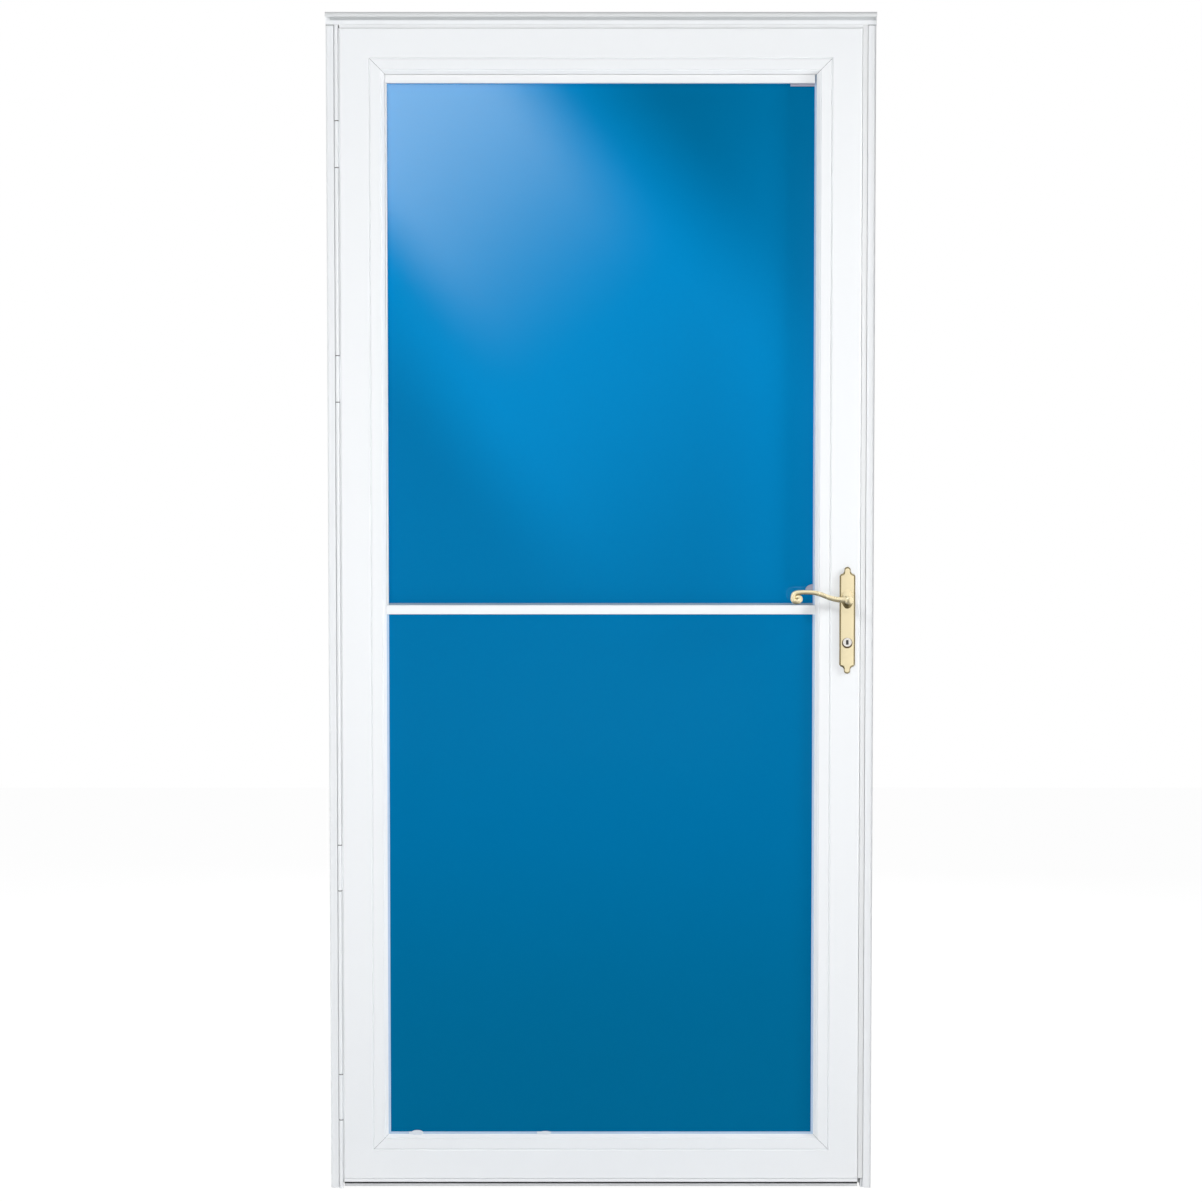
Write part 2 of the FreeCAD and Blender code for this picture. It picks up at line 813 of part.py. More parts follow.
def escutcheon(outline, width, seat, outward):
    """Plate on one face of the door, with a bevelled border and holes for spindle and cylinder."""
    rim_y = seat + outward * (plate_thickness - plate_bevel_height)
    face_y = seat + outward * plate_thickness
    levels = ((seat, 0), (rim_y, 0), (face_y, plate_bevel))
    plate = Part.makeLoft([outline(width, y, inset) for y, inset in levels], True, True)
    for radius, level in (
        (spindle_hole_radius(), lever_level),
        (ring_radius + bore_clearance, key_level),
    ):
        start = Vector(handle_x, seat, level)
        plate = plate.cut(rod(radius, start, start + Vector(0, outward * plate_thickness, 0)))
    return plate.Solids[0]


def lever(face, outward):
    """Scroll lever: conical rose, neck and hub on the spindle, and an arm that curls at its end."""
    root = face + outward * lever_running_gap
    bar_y = face + outward * (lever_stand - plate_thickness)
    rose_y = root + outward * rose_thickness
    hub_back = bar_y - outward * hub_length / 2
    hub_front = bar_y + outward * hub_length / 2
    profile = (
        (0, root),
        (rose_radius, root),
        (neck_radius, rose_y),
        (neck_radius, hub_back),
        (hub_radius, hub_back),
        (hub_radius, hub_front),
        (0, hub_front),
    )
    half = outline_face(profile, lambda p: Vector(handle_x + p.x, p.y, lever_level))
    turned = half.revolve(Vector(handle_x, 0, lever_level), Vector(0, 1, 0), 360)
    arm = bent_bar(lever_route, lever_bar_radius, lambda p: Vector(handle_x - p.x, bar_y, lever_level + p.y))
    body = turned.fuse(arm).removeSplitter()
    socket_half = spindle_side / 2
    socket_y = sorted((root, root + outward * spindle_seat))
    socket = box(
        (handle_x - socket_half, handle_x + socket_half),
        socket_y,
        (lever_level - socket_half, lever_level + socket_half),
    )
    return body.cut(socket).Solids[0]


def spindle():
    """Square spindle from one lever's socket through the lock to the other's."""
    half = spindle_side / 2
    reach = lever_running_gap + spindle_seat
    span_y = (plate_front - reach, plate_back + reach)
    return box((handle_x - half, handle_x + half), span_y, (lever_level - half, lever_level + half))


def cylinder_ring():
    """Housing of the key cylinder, through both plates and the lock, a little proud of each."""
    start = Vector(handle_x, plate_front - ring_proud, key_level)
    end = Vector(handle_x, plate_back + ring_proud, key_level)
    return rod(ring_radius, start, end).cut(rod(plug_radius + plug_clearance, start, end))


def key_plug():
    """Plug of the key cylinder with its keyway on the street side."""
    front = plate_front - ring_proud
    start = Vector(handle_x, front, key_level)
    end = Vector(handle_x, plate_back + ring_proud + lever_running_gap, key_level)
    keyway_x = (handle_x - keyway_width / 2, handle_x + keyway_width / 2)
    keyway_z = (key_level - keyway_height / 2, key_level + keyway_height / 2)
    return rod(plug_radius, start, end).cut(box(keyway_x, (front, front + keyway_depth), keyway_z))


def thumb_turn():
    """Thumb turn on the house end of the plug: a round boss with an upright paddle."""
    seat = plate_back + ring_proud + lever_running_gap
    start = Vector(handle_x, seat, key_level)
    boss = rod(turn_boss_radius, start, start + Vector(0, turn_boss_thickness, 0))
    paddle_x = (handle_x - turn_width / 2, handle_x + turn_width / 2)
    paddle_z = (key_level - turn_height / 2, key_level + turn_height / 2)
    paddle = box(paddle_x, (seat + turn_boss_thickness, seat + turn_reach), paddle_z)
    tip_edges = [edge for edge in paddle.Edges if edge.BoundBox.YMin > seat + turn_boss_thickness]
    paddle = paddle.makeChamfer(turn_bevel, tip_edges)
    return boss.fuse(paddle).removeSplitter().Solids[0]


pieces = {
    "hinge_jamb": hinge_jamb(),
    "latch_jamb": latch_jamb(),
    "head_jamb": head_jamb(),
    "drip_cap": drip_cap(),
    "hinge_seal": side_seal(hinge_side, 1),
    "latch_seal": side_seal(latch_side, -1),
    "head_seal": head_seal(),
    "strike_plate": strike_plate(),
    "hinge_pins": hinge_pins(),
    "hinge_stile": slab_member("left"),
    "latch_stile": latch_stile(),
    "top_rail": slab_member("top"),
    "bottom_rail": slab_member("bottom"),
    "sweep_channel": sweep_channel(),
    "sweep_fins": sweep_fins(),
    "left_bead": bead("left"),
    "right_bead": bead("right"),
    "top_bead": bead("top"),
    "bottom_bead": bead("bottom"),
    "lower_pane": lower_pane(),
    "lower_film": lower_film(),
    "lower_gasket": lower_gasket(),
    "pane_clips": pane_clips(),
    "meeting_bar": meeting_bar(),
    "sash_left_stile": sash_stile(sash_left, 1),
    "sash_right_stile": sash_stile(sash_right, -1),
    "sash_top_rail": sash_rail(sash_head_height, sash_high, -1),
    "sash_bottom_rail": sash_rail(sash_foot_height, sash_low, 1),
    "upper_pane": sash_sheet(sash_glass_front, sash_glass_thickness),
    "upper_film": sash_sheet(sash_glass_back, film_thickness),
    "sash_tab": sash_tab(),
    "sash_catch": sash_catch(),
    "outside_plate": escutcheon(ornate_outline, outside_plate_width, slab_front, -1),
    "inside_plate": escutcheon(oblong_outline, inside_plate_width, slab_back, 1),
    "lock_case": lock_case(),
    "cylinder_ring": cylinder_ring(),
    "outside_lever": lever(plate_front, -1),
    "inside_lever": lever(plate_back, 1),
    "spindle": spindle(),
    "key_plug": key_plug(),
    "thumb_turn": thumb_turn(),
}
for number, level in enumerate(hinge_levels, start=1):
    pieces[f"hinge_leaf_{number}"] = hinge_leaf(level)

os.makedirs("parts", exist_ok=True)
for name, shape in pieces.items():
    shape.exportStep(f"parts/{name}.step")
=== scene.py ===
"""Looks of a white full-view aluminium storm door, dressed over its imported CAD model.

Metres, in the CAD's own frame: X from the hinges to the latch, -Y to the street, +Z up.
"""
import json
import math
import bmesh
import bpy
from mathutils import Matrix, Vector


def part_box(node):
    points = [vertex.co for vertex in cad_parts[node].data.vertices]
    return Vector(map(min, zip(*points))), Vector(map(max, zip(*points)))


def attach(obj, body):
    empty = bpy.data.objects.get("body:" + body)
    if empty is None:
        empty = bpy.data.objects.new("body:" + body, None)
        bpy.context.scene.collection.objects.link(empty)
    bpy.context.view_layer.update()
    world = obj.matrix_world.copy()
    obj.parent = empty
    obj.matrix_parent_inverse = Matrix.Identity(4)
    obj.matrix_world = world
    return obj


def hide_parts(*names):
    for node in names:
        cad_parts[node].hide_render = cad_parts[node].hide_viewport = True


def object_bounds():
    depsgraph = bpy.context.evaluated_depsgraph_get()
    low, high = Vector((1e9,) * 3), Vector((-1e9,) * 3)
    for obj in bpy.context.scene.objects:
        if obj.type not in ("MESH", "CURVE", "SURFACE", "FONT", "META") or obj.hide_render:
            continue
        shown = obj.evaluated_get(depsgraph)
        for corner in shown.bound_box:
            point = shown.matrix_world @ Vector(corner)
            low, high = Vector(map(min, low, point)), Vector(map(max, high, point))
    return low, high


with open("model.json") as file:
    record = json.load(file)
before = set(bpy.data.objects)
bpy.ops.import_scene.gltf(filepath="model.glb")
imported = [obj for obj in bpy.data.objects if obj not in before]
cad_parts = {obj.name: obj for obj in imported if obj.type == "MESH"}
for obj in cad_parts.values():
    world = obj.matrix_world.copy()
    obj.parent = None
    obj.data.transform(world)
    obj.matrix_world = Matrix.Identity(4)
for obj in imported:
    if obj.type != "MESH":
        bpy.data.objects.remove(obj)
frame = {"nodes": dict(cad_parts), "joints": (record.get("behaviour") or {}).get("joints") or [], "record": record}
nodes = frame["nodes"]
scene = bpy.context.scene
cad_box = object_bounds()


# The photograph's view: a long lens straight in front of the door, a little above its middle,
# tipped down by a few degrees so that the uprights draw together towards the foot.
photo_pixels = 1202
focal_pixels = 2870
camera_distance = 5.0
camera_height = 1.296
camera_tilt = math.radians(3.0)
unit_middle = (cad_box[0].x + cad_box[1].x) / 2

lens = bpy.data.cameras.new("photo_camera")
lens.sensor_width = 36.0
lens.lens = lens.sensor_width * focal_pixels / photo_pixels
camera = bpy.data.objects.new("photo_camera", lens)
camera.location = (unit_middle, -camera_distance, camera_height)
camera.rotation_euler = (math.pi / 2 - camera_tilt, 0, 0)
scene.collection.objects.link(camera)
scene.camera = camera
scene.view_settings.view_transform = "Standard"


# The white room: a world that looks white to the lens, to metal and to glass, and lights the
# door as an even grey sky. The floor is the same white and keeps a faint shadow of the door.
sky_strength = 0.24
sky_colour = (0.97, 0.985, 1.0, 1)
white_colour = (1, 1, 1, 1)
floor_half = 6.0
floor_glow = 0.92
floor_shine = 1.04
floor_colour = (0.96, 0.96, 0.96, 1)
floor_roughness = 0.9
corner_signs = ((-1, -1), (1, -1), (1, 1), (-1, 1))


def wired(tree, kind, inputs, **settings):
    """New node with its settings made, and each input set to a plain value or linked to another socket."""
    node = tree.nodes.new(kind)
    for label, value in settings.items():
        setattr(node, label, value)
    for label, value in inputs.items():
        if isinstance(value, bpy.types.NodeSocket):
            tree.links.new(value, node.inputs[label])
        else:
            node.inputs[label].default_value = value
    return node


def calculated(tree, operation, *values):
    """Output of a math node that works on sockets and plain numbers."""
    return wired(tree, "ShaderNodeMath", dict(enumerate(values)), operation=operation).outputs[0]


def seen_directly(tree):
    """Value of one for rays from the lens, a mirror or a pane, and zero for plain bounced light."""
    path = tree.nodes.new("ShaderNodeLightPath").outputs
    seen = calculated(tree, "MAXIMUM", path["Is Camera Ray"], path["Is Glossy Ray"])
    return calculated(tree, "MAXIMUM", seen, path["Is Transmission Ray"])


world = bpy.data.worlds.new("white_room")
world.use_nodes = True
scene.world = world
room = world.node_tree
sky = room.nodes["Background"]
sky.inputs["Color"].default_value = sky_colour
sky.inputs["Strength"].default_value = sky_strength
white = wired(room, "ShaderNodeBackground", {"Color": white_colour})
both = wired(room, "ShaderNodeMixShader", {0: seen_directly(room), 1: sky.outputs[0], 2: white.outputs[0]})
room.links.new(both.outputs[0], room.nodes["World Output"].inputs["Surface"])


def flat_sheet(name, corners):
    """Stage object of one face through its corners."""
    mesh = bpy.data.meshes.new(name)
    mesh.from_pydata(corners, [], [range(len(corners))])
    sheet = bpy.data.objects.new(name, mesh)
    scene.collection.objects.link(sheet)
    return sheet


floor = flat_sheet("floor", [
    (unit_middle + sx * floor_half, sy * floor_half, 0) for sx, sy in corner_signs
])
floor_paint = bpy.data.materials.new("floor_paint")
floor_paint.use_nodes = True
floor_tree = floor_paint.node_tree
floor_matt = floor_tree.nodes["Principled BSDF"]
floor_matt.inputs["Base Color"].default_value = floor_colour
floor_matt.inputs["Roughness"].default_value = floor_roughness
floor_light = wired(floor_tree, "ShaderNodeEmission", {"Strength": floor_shine})
floor_mix = wired(floor_tree, "ShaderNodeMixShader", {
    0: calculated(floor_tree, "MULTIPLY", seen_directly(floor_tree), floor_glow),
    1: floor_matt.outputs[0],
    2: floor_light.outputs[0],
})
floor_tree.links.new(floor_mix.outputs[0], floor_tree.nodes["Material Output"].inputs["Surface"])
floor.data.materials.append(floor_paint)


# The lamps: a soft box up and to the left that shades what lies under a ledge, a broad one in front at
# mid-height, and a strip at the right that rakes the face and throws the handle's shadow to the left. Two
# more light the house side and the hinge side. Unseen flags keep light off the jambs' outer edges.
def soft_box(name, place, target, width, height, watts):
    """Rectangular lamp at a place, facing a target, which shows in no reflection."""
    light = bpy.data.lights.new(name, "AREA")
    light.shape = "RECTANGLE"
    light.size = width
    light.size_y = height
    light.energy = watts
    lamp = bpy.data.objects.new(name, light)
    lamp.location = place
    lamp.rotation_euler = (Vector(target) - Vector(place)).to_track_quat("-Z", "Y").to_euler()
    lamp.visible_glossy = False
    scene.collection.objects.link(lamp)


def hide_from(sheet, *rays):
    """Hide a stage sheet from some kinds of ray."""
    for ray in rays:
        setattr(sheet, "visible_" + ray, False)


door_middle = (unit_middle, 0.0, 1.1)
pane_middle = (0.28, 0.0, 1.12)
handle_side = (0.9, 0.0, 1.15)
hinge_side = (0.0, 0.0, 1.0)
soft_box("high_box", (-1.6, -4.2, 3.9), door_middle, width=0.8, height=0.8, watts=79.0)
soft_box("front_box", (0.28, -1.9, 1.12), pane_middle, width=1.2, height=1.2, watts=12.5)
soft_box("side_strip", (2.6, -0.48, 1.70), handle_side, width=0.3, height=0.6, watts=26.0)
soft_box("house_box", (0.70, 3.4, 1.90), door_middle, width=1.6, height=1.6, watts=68.0)
soft_box("hinge_box", (-3.4, 0.6, 1.5), hinge_side, width=1.2, height=1.2, watts=42.0)
flag_distance = 0.02
flag_top = 2.3
flag_places = {
    "latch_flag": (cad_box[1].x + flag_distance, -0.0163, 0.004),
    "hinge_flag": (cad_box[0].x - flag_distance, -0.0120, 0.008),
}
for name, (side, front, back) in flag_places.items():
    flag = flat_sheet(name, [
        (side, front, 0.0), (side, back, 0.0), (side, back, flag_top), (side, front, flag_top),
    ])
    hide_from(flag, "camera", "diffuse", "glossy", "transmission")


# Sheets that only reflections meet: black cloth behind the camera and on the floor before the door, so
# that the panes stay deep blue, a bright card for the brass, and a panel whose beam gives the pale sheen.
sheet_step = 0.2
sheet_depth = -camera_distance - sheet_step
cloth_depth = sheet_depth - sheet_step
cloth_left = -0.34
cloth_right = 1.26
cloth_low = -2.5
cloth_high = 2.75
cloth_rim = 0.8
floor_cloth_front = -0.34
floor_cloth_left = -0.05
floor_cloth_right = 0.98
floor_cloth_rise = 0.002
floor_cloth_rim = 0.5
card_left = 1.27
card_right = 2.6
card_low = -0.6
card_high = 2.4
card_glow = 1.25
beam_corner = Vector((0.097, 0.0, 1.930))
beam_across = (0.78, 0.0, 0.62)
beam_along = (0.62, 0.0, -0.78)
sheen_glow = 6.6
sheen_colour = (0.86, 0.93, 1.0, 1)
panel_reach = 1.6
sheen_edges = {
    "Low Start": -0.20, "Low End": -0.10, "High Start": 0.12, "High End": 0.25,
    "Fade Start": -0.10, "Fade End": 0.56,
}
mirror_stretch = (camera_distance - sheet_depth) / camera_distance


def group_named(name, kind, inputs, outputs):
    """Node group with named inputs and outputs, and the sockets of its two end nodes."""
    group = bpy.data.node_groups.new(name, kind)
    for label, socket in inputs.items():
        group.interface.new_socket(label, in_out="INPUT", socket_type="NodeSocket" + socket)
    for label, socket in outputs.items():
        group.interface.new_socket(label, in_out="OUTPUT", socket_type="NodeSocket" + socket)
    return group, group.nodes.new("NodeGroupInput").outputs, group.nodes.new("NodeGroupOutput").inputs


def along_way(tree, place, way):
    """Output of how far a place lies along a way."""
    return wired(tree, "ShaderNodeVectorMath", {0: place, 1: way}, operation="DOT_PRODUCT").outputs["Value"]


def ranged(tree, value, start, end, first=0.0, last=1.0, kind="SMOOTHSTEP"):
    """Output that runs from first to last while a value runs from start to end."""
    return wired(tree, "ShaderNodeMapRange", {
        "Value": value, "From Min": start, "From Max": end, "To Min": first, "To Max": last,
    }, interpolation_type=kind).outputs[0]


def beam_group():
    """Shader group for a slanting beam from a corner: a mask with soft edges that fades along its way."""
    inputs = {"Corner": "Vector", **dict.fromkeys(sheen_edges, "Float")}
    group, given, made = group_named("slanting_beam", "ShaderNodeTree", inputs, {"Mask": "Float"})
    place = group.nodes.new("ShaderNodeTexCoord").outputs["Object"]
    offset = wired(group, "ShaderNodeVectorMath", {0: place, 1: given["Corner"]}, operation="SUBTRACT")
    across = along_way(group, offset.outputs[0], beam_across)
    along = along_way(group, offset.outputs[0], beam_along)
    low = ranged(group, across, given["Low Start"], given["Low End"])
    high = ranged(group, across, given["High Start"], given["High End"], 1.0, 0.0)
    fade = ranged(group, along, given["Fade Start"], given["Fade End"], 1.0, 0.0)
    mask = calculated(group, "MULTIPLY", calculated(group, "MULTIPLY", low, high), fade)
    group.links.new(mask, made["Mask"])
    return group


slanting_beam = beam_group()


def beam_mask(tree, corner, edges, stretch=1.0):
    """Mask of the slanting beam in a material, with its distances stretched about the corner."""
    distances = {label: distance * stretch for label, distance in edges.items()}
    beam = wired(tree, "ShaderNodeGroup", {"Corner": corner, **distances}, node_tree=slanting_beam)
    return beam.outputs["Mask"]


def for_reflections_only(sheet, glow):
    """Let only mirrors and glossy skins see a stage sheet, and give back its shining surface."""
    hide_from(sheet, "camera", "diffuse", "shadow", "transmission")
    tone = bpy.data.materials.new(sheet.name + "_tone")
    tone.use_nodes = True
    tree = tone.node_tree
    shine = wired(tree, "ShaderNodeEmission", {"Strength": glow})
    tree.links.new(shine.outputs[0], tree.nodes["Material Output"].inputs["Surface"])
    sheet.data.materials.append(tone)
    return tree, shine


mirrored_corner = camera.location + (beam_corner - camera.location) * mirror_stretch
mirrored_corner.y = sheet_depth
panel = flat_sheet("sheen_panel", [
    mirrored_corner + Vector((sx * panel_reach, 0, sz * panel_reach)) for sx, sz in corner_signs
])
panel_tree, panel_shine = for_reflections_only(panel, sheen_glow)
panel_mask = beam_mask(panel_tree, mirrored_corner, sheen_edges, mirror_stretch)
panel_strength = calculated(panel_tree, "MULTIPLY", panel_mask, sheen_glow)
panel_tree.links.new(panel_strength, panel_shine.inputs["Strength"])
panel_shine.inputs["Color"].default_value = sheen_colour
panel_clear = panel_tree.nodes.new("ShaderNodeBsdfTransparent")
panel_sum = wired(panel_tree, "ShaderNodeAddShader", {0: panel_shine.outputs[0], 1: panel_clear.outputs[0]})
panel_tree.links.new(panel_sum.outputs[0], panel_tree.nodes["Material Output"].inputs["Surface"])


def upright_corners(left, right, low, high, depth):
    """Corners of an upright rectangle that faces the door."""
    return [(left, depth, low), (right, depth, low), (right, depth, high), (left, depth, high)]


card_corners = upright_corners(card_left, card_right, card_low, card_high, sheet_depth)
bright_card = flat_sheet("bright_card", card_corners)
for_reflections_only(bright_card, card_glow)


def black_cloth(name, corners, rim):
    """Black sheet for reflections through its corners, with a rim round it that fades to the room's white."""
    corners = [Vector(corner) for corner in corners]
    middle = sum(corners, Vector()) / len(corners)
    sheet = flat_sheet(name, [
        [place + rim * ((place > centre) - (place < centre)) for place, centre in zip(corner, middle)]
        for corner in corners
    ])
    tree, shine = for_reflections_only(sheet, 0.0)
    place = tree.nodes.new("ShaderNodeTexCoord").outputs["Object"]
    faded = 0.0
    for corner, after in zip(corners, corners[1:] + corners[:1]):
        along = (after - corner).normalized()
        outward = corner - middle
        outward = (outward - along * outward.dot(along)).normalized()
        edge = corner.dot(outward)
        fade = ranged(tree, along_way(tree, place, outward), edge, edge + rim)
        faded = calculated(tree, "MAXIMUM", faded, fade)
    tree.links.new(faded, shine.inputs["Strength"])


cloth_corners = upright_corners(cloth_left, cloth_right, cloth_low, cloth_high, cloth_depth)
black_cloth("black_cloth", cloth_corners, cloth_rim)
black_cloth("floor_cloth", [
    (cloth_left, cloth_depth, floor_cloth_rise), (cloth_right, cloth_depth, floor_cloth_rise),
    (floor_cloth_right, floor_cloth_front, floor_cloth_rise),
    (floor_cloth_left, floor_cloth_front, floor_cloth_rise),
], floor_cloth_rim)


# Jambs and drip cap: extruded aluminium in baked white enamel, screwed to the house trim.
# The enamel has the faint ripple of sprayed paint; the cap wears a darker grey copy of it, painted shade.
enamel_colour = (0.90, 0.915, 0.93, 1)
shaded_enamel_colour = (0.77, 0.785, 0.79, 1)
drift_detail = 4.0
ripple_detail = 2.0
grain_defaults = {
    "drift_scale": 3.0, "tone_drift": 0.02, "gloss": 0.4, "gloss_drift": 0.08, "ripple_scale": 700.0,
    "ripple_depth": 0.00002,
}


def socket_label(word):
    """Name of the grain group's input for one of its values."""
    return word.replace("_", " ").title()


def scaled(tree, vector, factor):
    """Output of a vector or colour times a factor."""
    return wired(tree, "ShaderNodeVectorMath", {0: vector, "Scale": factor}, operation="SCALE").outputs[0]


def noise(tree, place, scale, detail):
    """Output of a noise texture."""
    return wired(
        tree, "ShaderNodeTexNoise", {"Vector": place, "Scale": scale, "Detail": detail}).outputs["Fac"]


def grain_group():
    """Shader group for sprayed, cast or moulded skins: slow drift in tone and gloss, fine ripple as bump."""
    inputs = {"Colour": "Color", **{socket_label(word): "Float" for word in grain_defaults}}
    outputs = {"Colour": "Color", "Roughness": "Float", "Normal": "Vector"}
    group, given, made = group_named("surface_grain", "ShaderNodeTree", inputs, outputs)
    place = group.nodes.new("ShaderNodeTexCoord").outputs["Object"]
    drift = noise(group, place, given["Drift Scale"], drift_detail)
    swing = calculated(group, "MULTIPLY_ADD", drift, 2.0, -1.0)
    tone = calculated(group, "MULTIPLY_ADD", swing, given["Tone Drift"], 1.0)
    gloss = calculated(group, "MULTIPLY_ADD", swing, given["Gloss Drift"], given["Gloss"])
    ripple = noise(group, place, given["Ripple Scale"], ripple_detail)
    bump = wired(group, "ShaderNodeBump", {"Height": ripple, "Distance": given["Ripple Depth"]})
    group.links.new(scaled(group, given["Colour"], tone), made["Colour"])
    group.links.new(gloss, made["Roughness"])
    group.links.new(bump.outputs["Normal"], made["Normal"])
    return group


surface_grain = grain_group()


def finish_named(name, colour, metallic=0.0, **grain):
    """Material of one Principled shader whose tone, gloss and ripple come from the grain group."""
    finish = bpy.data.materials.new(name)
    finish.use_nodes = True
    tree = finish.node_tree
    shader = tree.nodes["Principled BSDF"]
    shader.inputs["Metallic"].default_value = metallic
    values = {socket_label(word): value for word, value in {**grain_defaults, **grain}.items()}
    skin = wired(
        tree, "ShaderNodeGroup", {"Colour": colour, **values}, node_tree=surface_grain, name="skin")
    for label, target in (("Colour", "Base Color"), ("Roughness", "Roughness"), ("Normal", "Normal")):
        tree.links.new(skin.outputs[label], shader.inputs[target])
    return finish


def dress(finish, *names):
    """Give CAD nodes their finish."""
    for name in names:
        nodes[name].material_slots[0].material = finish


enamel = finish_named(
    "white_enamel", enamel_colour, drift_scale=2.2, tone_drift=0.012, gloss=0.38,
    gloss_drift=0.07, ripple_scale=420.0, ripple_depth=0.00004)
dress(enamel, "hinge_jamb", "latch_jamb", "head_jamb")
# Painted shade: the drip cap gets a darker grey copy of the white enamel.
shaded_enamel = finish_named(
    "shaded_enamel", shaded_enamel_colour, drift_scale=6.0, tone_drift=0.03, gloss=0.45,
    gloss_drift=0.08, ripple_scale=420.0, ripple_depth=0.00004)
dress(shaded_enamel, "drip_cap")


# Leg screws: zinc-plated pan heads in the holes of both jamb legs, which hold the unit in the doorway.
# The door's edge hides them while it is shut.
leg_screw_head = (0.0042, 0.0016)
leg_wall = 0.0014
millimetre = 0.001
head_sides = 20
crown_share = 0.62
wing_sizes = ((1.05, 0.24, 0.6), (0.24, 1.05, 0.6))


def settle(tree, given, made, planted, chance):
    """Turn planted instances each by its own chance, and make them plain mesh in the given finish."""
    leaning = wired(tree, "GeometryNodeRotateInstances", {
        "Instances": planted.outputs[0], "Rotation": chance.outputs[0],
    })
    real = wired(tree, "GeometryNodeRealizeInstances", {"Geometry": leaning.outputs[0]})
    paint = wired(tree, "GeometryNodeSetMaterial", {"Geometry": real.outputs[0], "Material": given["Finish"]})
    tree.links.new(paint.outputs[0], made["Geometry"])


def screw_tree():
    """One screw head with a cross recess on each point, turned by chance about its own axis."""
    tree, given, made = group_named("screw_heads", "GeometryNodeTree", {
        "Geometry": "Geometry", "Head Radius": "Float", "Head Rise": "Float", "Axis": "Vector",
        "Seed": "Int", "Finish": "Material",
    }, {"Geometry": "Geometry"})
    radius = given["Head Radius"]
    head = wired(tree, "GeometryNodeMeshCone", {
        "Vertices": head_sides, "Radius Bottom": radius, "Depth": given["Head Rise"],
        "Radius Top": calculated(tree, "MULTIPLY", radius, crown_share),
    })
    wings = tree.nodes.new("GeometryNodeJoinGeometry")
    for size in wing_sizes:
        wing = wired(tree, "GeometryNodeMeshCube", {"Size": scaled(tree, size, radius)})
        tree.links.new(wing.outputs["Mesh"], wings.inputs[0])
    lift = wired(tree, "ShaderNodeCombineXYZ", {"Z": given["Head Rise"]})
    raised = wired(tree, "GeometryNodeTransform", {
        "Geometry": wings.outputs[0], "Translation": lift.outputs[0],
    })
    carved = wired(tree, "GeometryNodeMeshBoolean", {
        "Mesh 1": head.outputs["Mesh"], "Mesh 2": raised.outputs[0],
    }, operation="DIFFERENCE")
    stand = wired(tree, "FunctionNodeAlignRotationToVector", {"Vector": given["Axis"]}, axis="Z")
    chance = wired(tree, "FunctionNodeRandomValue", {
        0: (0, 0, 0), 1: (0, 0, math.pi), "Seed": given["Seed"],
    }, data_type="FLOAT_VECTOR")
    planted = wired(tree, "GeometryNodeInstanceOnPoints", {
        "Points": given["Geometry"], "Instance": carved.outputs["Mesh"], "Rotation": stand.outputs[0],
    })
    settle(tree, given, made, planted, chance)
    return tree


def grown(name, mesh, tree, values):
    """Plain mesh object that a geometry tree makes from a starting mesh and named values."""
    seed = bpy.data.objects.new(name + "_start", mesh)
    scene.collection.objects.link(seed)
    modifier = seed.modifiers.new(tree.name, "NODES")
    modifier.node_group = tree
    for socket in tree.interface.items_tree:
        if socket.in_out == "INPUT" and socket.name in values:
            modifier[socket.identifier] = values[socket.name]
    settled = seed.evaluated_get(bpy.context.evaluated_depsgraph_get())
    piece = bpy.data.objects.new(name, bpy.data.meshes.new_from_object(settled))
    bpy.data.objects.remove(seed)
    scene.collection.objects.link(piece)
    return piece


screw_heads = screw_tree()
zinc = finish_named(
    "zinc_plate", (0.60, 0.61, 0.62, 1), metallic=1.0, drift_scale=60.0, tone_drift=0.06, gloss=0.34,
    gloss_drift=0.1, ripple_scale=900.0, ripple_depth=0.00002)


def screws(name, places, axis, head, finish, body):
    """Screw heads of a radius and rise at some places, all facing along one axis, riding on a body."""
    mesh = bpy.data.meshes.new(name)
    mesh.from_pydata(places, [], [])
    piece = grown(name, mesh, screw_heads, {
        "Head Radius": head[0], "Head Rise": head[1], "Axis": axis, "Seed": len(places), "Finish": finish,
    })
    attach(piece, body)


leg_holes = {"hinge": [], "latch": []}
for mount in frame["record"]["mounts"]:
    if "leg_screws" in mount["name"]:
        x, y, z = mount["pos_m"]
        half = mount["dims"]["spacing_y_mm"] * millimetre / 2
        leg_holes[mount["name"].split("_")[0]] += [(x, y, z - half), (x, y, z + half)]
for side, inward in (("hinge", 1), ("latch", -1)):
    seats = [(x + inward * leg_wall, y, z) for x, y, z in leg_holes[side]]
    screws(side + "_leg_screws", seats, (inward, 0, 0), leg_screw_head, zinc, "frame")


# Strike plate: zinc-plated steel let into the latch jamb's leg, with a hole for the bolt and
# two flush screws.
strike_low, strike_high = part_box("strike_plate")
strike_screw_inset = 0.012
strike_screw_head = (0.0036, 0.0006)
dress(zinc, "strike_plate")
screws("strike_screws", [
    (strike_low.x, (strike_low.y + strike_high.y) / 2, z)
    for z in (strike_low.z + strike_screw_inset, strike_high.z - strike_screw_inset)
], (-1, 0, 0), strike_screw_head, zinc, "frame")


# Pile seals: grey woven pile on a flat backing, pushed into the stops so that its tips brush the
# back of the door at both sides and the head.
pile_backing_height = 0.001
pile_width = 0.003
tuft_radius = 0.00055
tufts_per_square_metre = 800000.0
tuft_lean = 0.22
tuft_sides = 3
tip_share = 0.25
pile_seed = 3
pile_sheen = 0.3
bed_inset = 0.0015


